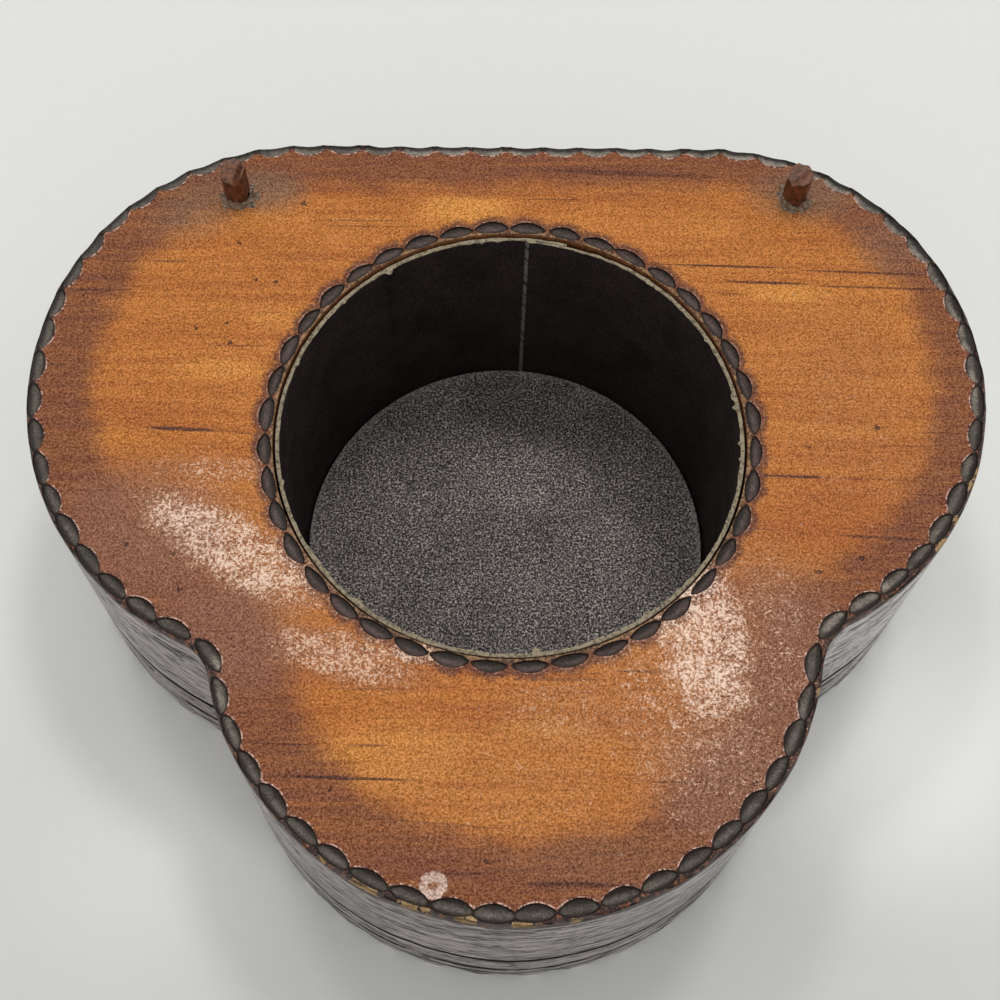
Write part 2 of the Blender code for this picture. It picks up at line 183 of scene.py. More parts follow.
class TrinketPegs(PropertyGroup):
    """The two whittled pegs and the crust of glue round them."""

    left_angle: angle("Left angle", "Direction of the left peg from its shoulder's centre", 111.1)
    left_inset: length("Left inset", "Distance of the left peg from the edge", 0.0079)
    left_stand: length("Left stand", "Height of the left peg above the top", 0.007)
    left_lean: angle("Left slope", "Slope of the left peg's broken end", 27)
    left_facing: angle("Left facing", "Direction in which the left peg's end falls", 250)
    left_split: length("Left split", "Depth of the split in the left peg's end", 0.001)
    left_split_place: length("Left split place", "Distance of the left split from the axis", 0.0009)
    right_angle: angle("Right angle", "Direction of the right peg from its shoulder's centre", 65.4)
    right_inset: length("Right inset", "Distance of the right peg from the edge", 0.0066)
    right_stand: length("Right stand", "Height of the right peg above the top", 0.0065)
    right_lean: angle("Right slope", "Slope of the right peg's broken end", 20)
    right_facing: angle("Right facing", "Direction in which the right peg's end falls", 215)
    right_split: length("Right split", "Depth of the split in the right peg's end", 0.00035)
    right_split_place: length("Right split place", "Distance of the right split from the axis", 0.0005)
    diameter: length("Diameter", "Diameter of a peg", 0.0041)
    seat: length("Seat", "Depth of a peg's hole", 0.012)
    crust_width: length("Crust width", "How far the glue reaches from a peg", 0.0017)
    crust_height: length("Crust height", "How far the glue climbs up a peg", 0.0011)


class TrinketColours(PropertyGroup):
    """The colours of the finishes."""

    amber: colour("Amber", "Lit early wood under the lacquer", (0.52, 0.185, 0.03))
    orange: colour("Orange", "Late wood under the lacquer", (0.36, 0.1, 0.013))
    light: colour("Light wood", "Palest early wood under the lacquer", (0.64, 0.265, 0.05))
    margin: colour("Margin", "Dark stain sprayed along the edges", (0.168, 0.052, 0.021))
    line: colour("Grain line", "Resin in the late wood", (0.045, 0.009, 0.005))
    pit: colour("Pit", "Dark stain in the top's pits", (0.04, 0.016, 0.011))
    dusty: colour("Dusty wood", "Dust caught in the lacquer round the pegs", (0.2, 0.115, 0.07))
    # Painted sheen: the soft reflection of the lamps round the glints, painted into the lacquer as a
    # pinkish-brown veil
    painted_sheen: colour("Bloomed wood", "Wood under lacquer that has gone cloudy", (0.24, 0.1, 0.056))
    scorch: colour("Scorch", "Wood browned by the iron beside the nicks", (0.06, 0.018, 0.016))
    # Painted highlight: the glint on a nick's rounded inner lip
    lip: colour("Lip", "Thread of pooled lacquer along a nick's lip", (0.75, 0.47, 0.38))
    worn: colour("Worn rim", "Wood worn bare between the rim's nicks and the bore", (0.3, 0.18, 0.085))
    worn_dark: colour("Dark worn rim", "Stain left in the worn rim", (0.07, 0.035, 0.018))
    rubbed: colour("Rubbed edge", "Wood rubbed bare outside the nicks", (0.17, 0.06, 0.025))
    rubbed_dark: colour("Dark rubbed edge", "Stain left on the rubbed edge", (0.025, 0.014, 0.01))
    scar: colour("Scar", "Pale ring of the scar at the front", (0.62, 0.45, 0.37))
    # Painted highlights: the lamps' glints on the lacquer, painted as pale specks over a darker ground
    painted_glint_ground: colour("Shine", "Lacquer between the bright sparks", (0.25, 0.105, 0.055))
    painted_glint_colour: colour("Spark", "Sparks where the lacquer shines", (0.88, 0.63, 0.46))
    painted_glint_dim: colour("Dim spark", "Sparks in the rest of the lacquer", (0.75, 0.4, 0.2))
    dust: colour("Dust", "Specks of dust on the lacquer", (0.6, 0.5, 0.42))
    # Partly painted shade: the burnt wood painted black along the nicks' lips, where their steep edges lie
    # in shade
    hollow: colour("Hollow", "Burnt wood along the lips of the nicks", (0.014, 0.009, 0.007))
    ash: colour("Ash", "Burnt wood down in the nicks", (0.042, 0.034, 0.029))
    # Painted sheen: the reflection in the nicks, painted grey along the edge and brown round the well
    edge_nick_sheen: colour("Haze", "Grey bloom in the nicks of the edge", (0.36, 0.31, 0.25))
    rim_nick_sheen: colour("Rim haze", "Brown bloom in the nicks round the well", (0.26, 0.16, 0.14))
    # Partly stain and partly painted sheen: these light grey-purples stand in for the floor's reflection in
    # the lacquer
    wall: colour("Wall", "Dark stain of the outer wall", (0.37, 0.285, 0.275))
    wall_dull: colour("Dull wall", "Worn stain of the outer wall", (0.19, 0.145, 0.14))
    wall_streak: colour("Wall streak", "Grooves in the outer wall's stain", (0.012, 0.009, 0.009))
    run: colour("Run stain", "Thin stain that has run down from the top", (0.13, 0.045, 0.02))
    run_dark: colour("Dark run stain", "Thick stain that has run down", (0.02, 0.012, 0.01))
    burnt: colour("Burnt line", "Wood burnt black in the wall's lines", (0.004, 0.003, 0.003))
    raw: colour("Raw wood", "Bare wood where the edge has chipped", (0.36, 0.235, 0.11))
    bore: colour("Bore", "Stained wood of the bore above the strip", (0.28, 0.1, 0.035))
    flock: colour("Black flock", "Flock on the well's wall", (0.034, 0.025, 0.0235))
    lint: colour("Lint", "Lint in the black flock", (0.16, 0.155, 0.15))
    seam: colour("Seam", "Pale thread down the strip's seam", (0.3, 0.29, 0.26))
    card: colour("Card", "Cut edge of the flocked card", (0.36, 0.3, 0.2))
    floor_flock: colour("Grey flock", "Worn flock on the well's floor", (0.42, 0.37, 0.345))
    floor_border: colour("Floor border", "Paler flock on the border", (0.36, 0.34, 0.32))
    floor_dust: colour("Floor dust", "Dust in the grey flock", (0.72, 0.7, 0.66))
    peg: colour("Peg", "Lacquered wood of the pegs", (0.15, 0.042, 0.016))
    peg_end: colour("Peg end", "Broken wood of the pegs' ends", (0.22, 0.085, 0.04))
    glue: colour("Glue", "Dry glue round the pegs", (0.3, 0.25, 0.185))
    glue_brown: colour("Brown glue", "Glue between the pale crumbs", (0.1, 0.055, 0.03))
    glue_dust: colour("Dusty glue", "Dust on the glue", (0.2, 0.13, 0.085))


class TrinketStage(PropertyGroup):
    """The floor, the lamps and the camera."""

    floor_size: length("Floor size", "Side of the floor", 6)
    floor_colour: colour("Floor colour", "Colour of the floor", (0.79, 0.795, 0.765))
    world_strength: number("World", "Strength of the even light", 0.73)
    lamp_size: length("Lamp size", "Diameter of each lamp", 0.2)
    left_lamp: spot("Left lamp", "Place of the left lamp", (-0.27, 0.48, 1.24))
    left_power: number("Left power", "Power of the left lamp", 1.9, "POWER")
    right_lamp: spot("Right lamp", "Place of the right lamp", (0.22, 0.4, 1.24))
    right_power: number("Right power", "Power of the right lamp", 2.7, "POWER")
    camera: spot("Camera", "Place of the camera", (-0.00412, -0.10042, 0.24115))
    aim: spot("Aim", "Point of the top at which the camera looks", (-0.00145, -0.01048))
    roll: angle("Roll", "How far the camera is turned about its view", 2.05)
    lens: number("Lens", "Focal length in millimetres", 56.06)
    sensor: number("Sensor", "Width of the camera's sensor in millimetres", 36)


class TrinketBox(PropertyGroup):
    """All settings of the box."""

    plan: PointerProperty(type=TrinketPlan)
    nicks: PointerProperty(type=TrinketNicks)
    wall: PointerProperty(type=TrinketWall)
    lining: PointerProperty(type=TrinketLining)
    pegs: PointerProperty(type=TrinketPegs)
    colours: PointerProperty(type=TrinketColours)
    stage: PointerProperty(type=TrinketStage)


class Wire:
    """An output socket of a finish. Arithmetic on it adds Math nodes to the finish."""

    def __init__(self, finish, socket):
        self.finish = finish
        self.socket = socket

    def __add__(self, other):
        return self.finish.maths("ADD", self, other)

    def __sub__(self, other):
        return self.finish.maths("SUBTRACT", self, other)

    def __rsub__(self, other):
        return self.finish.maths("SUBTRACT", other, self)

    def __mul__(self, other):
        return self.finish.maths("MULTIPLY", self, other)

    def __truediv__(self, other):
        return self.finish.maths("DIVIDE", self, other)

    def __abs__(self):
        return self.finish.maths("ABSOLUTE", self)

    __radd__ = __add__
    __rmul__ = __mul__

    def most(self, other):
        """The larger of the two."""
        return self.finish.maths("MAXIMUM", self, other)

    def other(self, output):
        """Another output of the same node."""
        return Wire(self.finish, self.socket.node.outputs[output])


class Finish:
    """A material that is built up node by node."""

    def __init__(self, name, constants):
        self.material = bpy.data.materials.new(name)
        self.material.use_nodes = True
        self.tree = self.material.node_tree
        self.cover(constants)

    def feed(self, socket, value):
        """Link a wire to a socket, or set the socket's own value."""
        if isinstance(value, Wire):
            self.tree.links.new(value.socket, socket)
        elif socket.type == "RGBA":
            socket.default_value = (*value, 1)
        elif socket.type == "VECTOR":
            socket.default_value = tuple(value)
        else:
            socket.default_value = value

    def cover(self, values):
        """Feed the sockets of the surface shader. Gives the material."""
        for socket, value in values.items():
            self.feed(self.tree.nodes["Principled BSDF"].inputs[socket], value)
        return self.material

    def node(self, kind, settings, values, output=0):
        """Add a node: first its settings, then the values or wires of its sockets."""
        node = self.tree.nodes.new(kind)
        for setting, value in settings.items():
            setattr(node, setting, value)
        for socket, value in values.items():
            self.feed(node.inputs[socket], value)
        return Wire(self, node.outputs[output])

    def maths(self, operation, *values):
        """A Math node."""
        return self.node("ShaderNodeMath", {"operation": operation}, dict(enumerate(values)))

    def vector_maths(self, operation, *values, output=0):
        """A Vector Math node."""
        settings = {"operation": operation}
        return self.node("ShaderNodeVectorMath", settings, dict(enumerate(values)), output)

    def place(self):
        """The point being shaded, in millimetres."""
        point = self.node("ShaderNodeTexCoord", {}, {}, "Object")
        return self.vector_maths("MULTIPLY", point, (1 / MILLIMETRE,) * 3)

    def flat(self, place):
        """A point without its height."""
        return self.stretch(place, (1, 1, 0))

    def parts(self, vector):
        """The three numbers of a vector."""
        first = self.node("ShaderNodeSeparateXYZ", {}, {0: vector})
        return first, first.other(1), first.other(2)

    def joined(self, *numbers):
        """A vector from its numbers. One that is left out is 0."""
        return self.node("ShaderNodeCombineXYZ", {}, dict(enumerate(numbers)))

    def span(self, vector):
        """The length of a vector."""
        return self.vector_maths("LENGTH", vector, output="Value")

    def distance(self, flat, x, y):
        """Distance in the plan from one of its points, in millimetres."""
        return self.vector_maths("DISTANCE", flat, (x, y, 0), output="Value")

    def oval(self, flat, x, y, half_x, half_y, turn=0):
        """Distance from a point of the plan, in shares of an oval's half lengths: 1 on the oval itself."""
        settings = {"vector_type": "TEXTURE"}
        values = {0: flat, "Location": (x, y, 0), "Rotation": (0, 0, turn), "Scale": (half_x, half_y, 1)}
        return self.span(self.node("ShaderNodeMapping", settings, values))

    def stored(self, name):
        """A length kept on the mesh, in millimetres."""
        return self.node("ShaderNodeAttribute", {"attribute_name": name}, {}, "Fac") / MILLIMETRE

    def stretch(self, vector, factors):
        """A vector with its three numbers multiplied."""
        return self.vector_maths("MULTIPLY", vector, factors)

    def noise(self, vector, scale, detail=2, roughness=0.5, distortion=0):
        """Smooth noise about 0.5."""
        values = {
            "Vector": vector,
            "Scale": scale,
            "Detail": detail,
            "Roughness": roughness,
            "Distortion": distortion,
        }
        return self.node("ShaderNodeTexNoise", {}, values)

    def grain(self, vector, factors, detail=2, roughness=0.5, distortion=0):
        """Noise that is drawn out, furthest along the axis with the smallest factor."""
        return self.noise(self.stretch(vector, factors), 1, detail, roughness, distortion)

    def cells(self, vector, scale):
        """Distance to the nearest of scattered points."""
        return self.node("ShaderNodeTexVoronoi", {}, {"Vector": vector, "Scale": scale}, "Distance")

    def smooth(self, value, low, high):
        """0 at low and 1 at high, with an eased step between them."""
        settings = {"interpolation_type": "SMOOTHSTEP"}
        return self.node("ShaderNodeMapRange", settings, {"Value": value, "From Min": low, "From Max": high})

    def mix(self, factor, low, high):
        """One colour at factor 0 and the other at 1."""
        return self.node("ShaderNodeMix", {"data_type": "RGBA"}, {0: factor, 6: low, 7: high}, 2)

    def layered(self, tone, *layers):
        """A colour with layers over it in order, each a mask and a colour."""
        for mask, over in layers:
            tone = self.mix(mask, tone, over)
        return tone

    def scaled(self, tone, factor):
        """A colour made lighter or darker by a factor."""
        settings = {"operation": "SCALE"}
        return self.node("ShaderNodeVectorMath", settings, {0: tone, "Scale": factor})

    def bump(self, height, distance, worn=0):
        """A normal from a height between 0 and 1 and the millimetres it stands for, over worn edges."""
        values = {"Height": height, "Distance": distance * MILLIMETRE}
        if worn:
            values["Normal"] = self.node("ShaderNodeBevel", {"samples": 4}, {"Radius": worn * MILLIMETRE})
        return self.node("ShaderNodeBump", {}, values)


def around(radius, turn):
    """The point at this radius and angle from the origin of the plan."""
    return Vector((math.cos(turn), math.sin(turn))) * radius


def angle_to(centre, point):
    """Direction of a point from a centre, in the plan."""
    return math.atan2(point.y - centre.y, point.x - centre.x)


def valley_centre(first, first_radius, second, second_radius, radius):
    """Centre of the arc that touches two lobes from outside, to the right of the way between them."""
    span = (second - first).length
    to_first = first_radius + radius
    to_second = second_radius + radius
    along = (to_first**2 - to_second**2 + span**2) / (2 * span)
    across = math.sqrt(to_first**2 - along**2)
    way = (second - first).normalized()
    return first + way * along + Vector((way.y, -way.x)) * across


def arc_walk(centre, radius, start, end, turn, step):
    """Places along an arc, each a point and the way out of the wood, which turn tells: 1 or -1."""
    sweep = turn * ((turn * (end - start)) % math.tau)
    count = math.ceil(abs(sweep) * radius / step)
    walk = []
    for index in range(count):
        out = around(1, start + sweep * index / count)
        walk.append((centre + out * radius, out * turn))
    return walk


def shoulder_centres(plan):
    """Centres of the left and right shoulder, which touch their lobes from inside."""
    left = Vector(plan.left_lobe) + around(plan.left_radius - plan.left_bend, plan.left_turn)
    right = Vector(plan.right_lobe) + around(plan.right_radius - plan.right_bend, plan.right_turn)
    return left, right


def plan_walk(plan):
    """Places round the box's plan, counter-clockwise from the left valley: each a point and the way out."""
    front = Vector(plan.front_lobe)
    right = Vector(plan.right_lobe)
    left = Vector(plan.left_lobe)
    left_shoulder, right_shoulder = shoulder_centres(plan)
    right_valley = valley_centre(front, plan.front_radius, right, plan.right_radius, plan.right_valley)
    left_valley = valley_centre(left, plan.left_radius, front, plan.front_radius, plan.left_valley)
    # The straight back touches both shoulders, and this is the direction that it faces
    tilt = math.acos((plan.right_bend - plan.left_bend) / (left_shoulder - right_shoulder).length)
    back = angle_to(right_shoulder, left_shoulder) - tilt
    step = plan.fineness
    walk = arc_walk(
        front, plan.front_radius, angle_to(front, left_valley), angle_to(front, right_valley), 1, step
    )
    start, end = angle_to(right_valley, front), angle_to(right_valley, right)
    walk += arc_walk(right_valley, plan.right_valley, start, end, -1, step)
    walk += arc_walk(right, plan.right_radius, angle_to(right, right_valley), plan.right_turn, 1, step)
    walk += arc_walk(right_shoulder, plan.right_bend, plan.right_turn, back, 1, step)
    out = around(1, back)
    start, end = right_shoulder + out * plan.right_bend, left_shoulder + out * plan.left_bend
    count = math.ceil((end - start).length / step)
    walk += [(start.lerp(end, index / count), out) for index in range(count)]
    walk += arc_walk(left_shoulder, plan.left_bend, back, plan.left_turn, 1, step)
    walk += arc_walk(left, plan.left_radius, plan.left_turn, angle_to(left, left_valley), 1, step)
    start, end = angle_to(left_valley, left), angle_to(left_valley, front)
    walk += arc_walk(left_valley, plan.left_valley, start, end, -1, step)
    return walk


def rim_walk(radius, step):
    """Places round a bore, counter-clockwise: each a point and the way out of the wood, to the axis."""
    count = math.ceil(math.tau * radius / step)
    outs = [around(1, math.tau * index / count) for index in range(count)]
    return [(out * radius, -out) for out in outs]


def paced(walk, pitch):
    """Every so many places of a closed walk, about a pitch apart, the first after half a pitch.

    Their number is even, so that every other place all the way round leaves no two neighbours together.
    """
    ends = walk[1:] + walk[:1]
    lengths = [(end[0] - start[0]).length for start, end in zip(walk, ends)]
    pairs = round(sum(lengths) / (2 * pitch))
    spacing = sum(lengths) / (2 * pairs)
    places = []
    ahead = spacing / 2
    for (start, out), (end, _), run in zip(walk, ends, lengths):
        while ahead < run:
            places.append((start.lerp(end, ahead / run), out))
            ahead += spacing
        ahead -= run
    return places


def wander(place, size, seed):
    """Smooth noise from -1 to 1 along a walk, which changes over about this size."""
    return noise.noise(Vector((place[0] / size, place[1] / size, seed)))


def link(name, mesh):
    """A new object in the scene."""
    piece = bpy.data.objects.new(name, mesh)
    bpy.context.scene.collection.objects.link(piece)
    return piece


def from_bmesh(name, work, finishes):
    """A new object from a bmesh, with its finishes in order."""
    mesh = bpy.data.meshes.new(name)
    work.to_mesh(mesh)
    work.free()
    for finish in finishes:
        mesh.materials.append(finish)
    return link(name, mesh)


def settle(piece, node, sharp_degrees=35):
    """Shade a finished piece, and put it on the frame in place of its node."""
    piece.data.shade_smooth()
    piece.data.set_sharp_from_angle(angle=math.radians(sharp_degrees))
    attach(piece, "root")
    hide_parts(node)


def ring_of(work, places, height):
    """Vertices at these plan places and one height, or one height each."""
    if not hasattr(height, "__len__"):
        height = [height] * len(places)
    return [work.verts.new((place.x, place.y, rise)) for place, rise in zip(places, height)]


def band(work, lower, upper, slot, closed=True):
    """Faces between two rings of a wall, which face out where the rings run counter-clockwise."""
    for index in range(0 if closed else 1, len(lower)):
        face = work.faces.new((lower[index - 1], lower[index], upper[index], upper[index - 1]))
        face.material_index = slot


def fan(work, ring, tip, slot):
    """Faces from a ring to a point, which face as the ring's band would."""
    point = work.verts.new(tip)
    for index in range(len(ring)):
        work.faces.new((ring[index - 1], ring[index], point)).material_index = slot


def inside(points, loop):
    """Which points lie inside a closed loop of the plan."""
    crossings = np.zeros(len(points), int)
    for start, end in zip(loop, np.roll(loop, -1, axis=0)):
        straddles = (start[1] > points[:, 1]) != (end[1] > points[:, 1])
        rise = end[1] - start[1]
        if rise:
            reach = start[0] + (points[:, 1] - start[1]) * (end[0] - start[0]) / rise
            crossings += straddles & (points[:, 0] < reach)
    return crossings % 2 == 1


def flat_fill(work, loops, spots, height, slot, up):
    """Fill the plan inside the first loop and outside the others with triangles that use the spots too."""
    corners = [vertex for loop in loops for vertex in loop]
    edges = []
    for loop in loops:
        first = len(edges)
        edges += [(first + index, first + (index + 1) % len(loop)) for index in range(len(loop))]
    flat = [vertex.co.to_2d() for vertex in corners] + [Vector(place) for place in spots]
    placed, _, triangles, sources, _, _ = delaunay_2d_cdt(flat, edges, [], 0, WELD_DISTANCE)
    middles = np.array([sum((placed[i] for i in three), Vector((0, 0))) / 3 for three in triangles])
    keep = inside(middles, np.array([vertex.co.to_2d() for vertex in loops[0]]))
    for loop in loops[1:]:
        keep &= ~inside(middles, np.array([vertex.co.to_2d() for vertex in loop]))
    made = {}
    for three, kept in zip(triangles, keep):
        if not kept:
            continue
        face = []
        for index in three:
            if index not in made:
                source = min(sources[index])
                if source < len(corners):
                    made[index] = corners[source]
                else:
                    made[index] = work.verts.new((*placed[index], height))
            face.append(made[index])
        triangle = work.faces.new(face if up else face[::-1])
        triangle.material_index = slot


# Steps and tears that the gouge leaves along a hollow, in millimetres: size and depth
GOUGE_TEARS = ((0.5, 0.02), (1.7, 0.06))


def lens(work, centre, side, shape):
    """A sphere drawn out to a hollow with pointed ends, its middle bent away from the edge."""
    nicks = bpy.context.scene.trinket_box.nicks
    made = bmesh.ops.create_uvsphere(work, u_segments=nicks.facets, v_segments=nicks.rings, radius=1)
    for vertex in made["verts"]:
        narrow = max(1 - vertex.co.z**2, 0) ** nicks.taper
        unit = Vector((vertex.co.x * narrow, vertex.co.y * narrow, vertex.co.z))
        bend = side * nicks.bow * (0.5 - vertex.co.z**2)
        vertex.co = centre - bend + shape @ unit


def gouges(name, places, height, up, size, finishes, seed):
    """Two cutters that hold every other gouge of a row. Each is a lens-shaped hollow with pointed ends.

    up is 1 on an upper face and -1 on a lower one. Each place is a point on the edge, the way out and how
    far in the cut lies. size holds the length, width and depth of a cut and how unlike the cuts are.
    """
    span, across, depth, unlike = size
    lift = bpy.context.scene.trinket_box.nicks.lift
    rise = Vector((0, 0, up))
    chance = random.Random(seed)
    noise.seed_set(seed)
    cutters = []
    for parity in (0, 1):
        work = bmesh.new()
        for place, out, inset in places[parity::2]:
            side = out.to_3d()
            along = side.cross(rise)
            centre = place.to_3d() + rise * (height * up + lift)
            centre -= side * inset * (1 + chance.uniform(-unlike, unlike) / 2)
            centre += along * span * chance.uniform(-unlike, unlike) / 4
            half = span * (1 + chance.uniform(-unlike, unlike) / 2) / 2
            width = across * (1 + chance.uniform(-unlike, unlike)) / 2
            deep = depth * (1 + chance.uniform(-unlike, unlike)) + lift
            shape = Matrix((side * width, rise * deep, along * half)).transposed()
            twist = Quaternion(rise, chance.uniform(-unlike, unlike) / 3).to_matrix()
            lens(work, centre, side, twist @ shape)
        for vertex in work.verts:
            for tear, deep in GOUGE_TEARS:
                vertex.co += noise.noise_vector(vertex.co / (tear * MILLIMETRE)) * deep * MILLIMETRE
        for face in work.faces:
            face.material_index = HOLLOW
        cutters.append(from_bmesh(f"{name}_{parity}", work, finishes))
    return cutters


def carve(piece, cutters):
    """Cut a piece by its cutters, and keep the cut mesh."""
    for cutter in cutters:
        cut = piece.modifiers.new(cutter.name, "BOOLEAN")
        cut.operation = "DIFFERENCE"
        cut.solver = "MANIFOLD"
        cut.object = cutter
    slots_before = {face.material_index for face in piece.data.polygons}
    graph = bpy.context.evaluated_depsgraph_get()
    carved = bpy.data.meshes.new_from_object(piece.evaluated_get(graph))
    piece.modifiers.clear()
    piece.data = carved
    if not slots_before <= {face.material_index for face in carved.polygons}:
        raise RuntimeError(f"{piece.name} lost faces of a whole finish when it was cut")
    for cutter in cutters:
        bpy.data.meshes.remove(cutter.data)


def store(mesh, name, values):
    """Keep a number for each vertex of a mesh."""
    kept = mesh.attributes.new(name, "FLOAT", "POINT")
    kept.data.foreach_set("value", np.asarray(values, np.float32))


def tree_of(points):
    """A tree that finds the nearest of these points."""
    tree = KDTree(len(points))
    for index, point in enumerate(points):
        tree.insert(point, index)
    tree.balance()
    return tree


def flattened(point):
    """A point at the height of the plan."""
    return Vector((point.x, point.y, 0))


def nearest(points, targets):
    """Distance from each point to the nearest target."""
    tree = tree_of(targets)
    return [tree.find(point)[2] for point in points]


def beside_nicks(points, places):
    """How far each point lies beside the middle line of its nearest nick, more than 0 on the outer side."""
    middles = [place - out * inset for place, out, inset in places]
    tree = tree_of([middle.to_3d() for middle in middles])
    beside = []
    for point in points:
        index = tree.find(flattened(point))[1]
        beside.append((point.to_2d() - middles[index]).dot(places[index][1]))
    return beside


# Burnt lines round the wall, lowest first: height, strength, seed and how broken the line is
BURNT_LINES = ((0.0068, 0.95, 2.1, 0.9), (0.0112, 0.6, 7.7, 1.5), (0.015, 1.2, 4.3, 0.3))


def wall_rows(walk, lines, box):
    """The burnt lines, lowest first: for each, the height and the depth at every place."""
    rows = []
    for height, strength, seed, broken in lines:
        heights = []
        depths = []
        for place, _ in walk:
            heights.append(height + box.wall.line_wander * wander(place, 0.02, seed))
            fade = wander(place, 0.007, seed + 5) + 0.6 * wander(place, 0.0025, seed + 9)
            depths.append(box.wall.line_cut * strength * min(max(1.15 - broken * (0.5 + fade), 0), 1.3))
        rows.append((heights, depths))
    return rows


def block_rows(walk, lines, box):
    """Rows of the block's wall, lowest first: each a list of heights and a list of insets."""
    low, high = BLOCK_LOW.z, BLOCK_HIGH.z
    half = box.wall.line_width / 2
    count = len(walk)
    still = [0] * count
    rows = [([low] * count, still)]
    previous = low
    for heights, depths in lines:
        shallow = [depth * 0.4 for depth in depths]
        rows.append(([(rise + previous) / 2 for rise in heights], still))
        groove = ((-1, still), (-0.6, shallow), (0, depths), (0.6, shallow), (1, still))
        rows += [([rise + half * share for rise in heights], insets) for share, insets in groove]
        previous = max(heights) + half
    worn = box.wall.worn_arris
    edge = high - worn * 1.3
    steps = math.ceil((edge - previous) / box.wall.row_step)
    for step in range(1, steps + 1):
        rise = previous + (edge - previous) * step / steps
        rows.append(([rise] * count, still))
    wear = [worn * (1 + 0.7 * wander(place, 0.004, 6) + 0.4 * wander(place, 0.0013, 8)) for place, _ in walk]
    rows.append(([high - inset * 0.3 for inset in wear], [inset * 0.3 for inset in wear]))
    rows.append(([high] * count, wear))
    return rows


def peg_places(box):
    """The plan position of each peg, by side."""
    plan, pegs = box.plan, box.pegs
    left_shoulder, right_shoulder = shoulder_centres(plan)
    left = left_shoulder + around(plan.left_bend - pegs.left_inset, pegs.left_angle)
    right = right_shoulder + around(plan.right_bend - pegs.right_inset, pegs.right_angle)
    return {"left": left, "right": right}


def uneven_walk(box):
    """The plan's walk, with the small waves of a hand-sawn wall."""
    uneven = []
    for place, out in plan_walk(box.plan):
        wave = wander(place, 0.011, 1.5) + 0.4 * wander(place, 0.003, 3)
        uneven.append((place + out * (box.plan.unevenness * wave), out))
    return uneven


def box_wall(work, walk, rows):
    """The wall's rings from its rows."""
    rings = []
    for heights, insets in rows:
        places = [place - out * inset for (place, out), inset in zip(walk, insets)]
        rings.append(ring_of(work, places, heights))
    for lower, upper in zip(rings, rings[1:]):
        band(work, lower, upper, WALL)
    return rings


def from_burns(points, walk, lines, box):
    """How far each point lies above or below its nearest burnt line, and further where the line fades."""
    tree = tree_of([place.to_3d() for place, _ in walk])
    distances = []
    for point in points:
        index = tree.find(flattened(point))[1]
        near = []
        for heights, depths in lines:
            faint = 1 - min(depths[index] / box.wall.line_cut, 1)
            near.append(abs(point.z - heights[index]) + faint * box.wall.line_width)
        distances.append(min(near))
    return distances


def top_spots(walk, rim, pegs, hole):
    """Points inside the top's plan, close together along the edges and wide apart in the middle."""
    fine = [0.4 * MILLIMETRE * step for step in range(1, 11)]
    spots = [place - out * inset for inset in fine for place, out in walk]
    spots += [place - out * inset for inset in fine for place, out in rim]
    edge = np.array([place for place, _ in walk])
    rim_radius = rim[0][0].length
    # A grid out to 80 mm on every side of the well, which is past the whole plan
    coarse = 2 * MILLIMETRE
    reach = round(80 * MILLIMETRE / coarse)
    steps = range(-reach, reach)
    margin = fine[-1] + coarse / 3
    grid = [Vector((column * coarse, row * coarse)) for column in steps for row in steps]
    for place, within in zip(grid, inside(np.array(grid), edge)):
        if not within or place.length < rim_radius + margin:
            continue
        if np.hypot(*(edge - np.array(place)).T).min() < margin:
            continue
        spots.append(place)
    clear = hole + 0.3 * MILLIMETRE
    return [place for place in spots if all((place - peg).length > clear for peg in pegs)]


def drilled_holes(work, centres, radius, low, high):
    """The blind holes of the pegs. Gives the rings of their mouths."""
    facets = 32
    mouths = []
    for centre in centres:
        places = [centre + around(radius, math.tau * step / facets) for step in range(facets)]
        mouth = ring_of(work, places, high)
        seat = ring_of(work, places, low)
        band(work, mouth, seat, BORE)
        work.faces.new(seat).material_index = BORE
        mouths.append(mouth)
    return mouths


def uncut_block(box, walk, rim, lines, finishes):
    """The block with its bore, its peg holes and its burnt lines, before the nicks."""
    low, high = BLOCK_LOW.z, BLOCK_HIGH.z
    work = bmesh.new()
    rings = box_wall(work, walk, block_rows(walk, lines, box))
    bore_places = [place for place, _ in rim]
    bore_low = ring_of(work, bore_places, low)
    bore_high = ring_of(work, bore_places, high)
    band(work, bore_high, bore_low, BORE)
    hole = box.pegs.diameter / 2 + box.lining.gap
    pegs = peg_places(box).values()
    mouths = drilled_holes(work, pegs, hole, high - box.pegs.seat, high)
    flat_fill(work, [rings[-1], bore_high, *mouths], top_spots(walk, rim, pegs, hole), high, TOP, True)
    flat_fill(work, [rings[0], bore_low], [], low, WALL, False)
    return from_bmesh("carved_block", work, finishes)


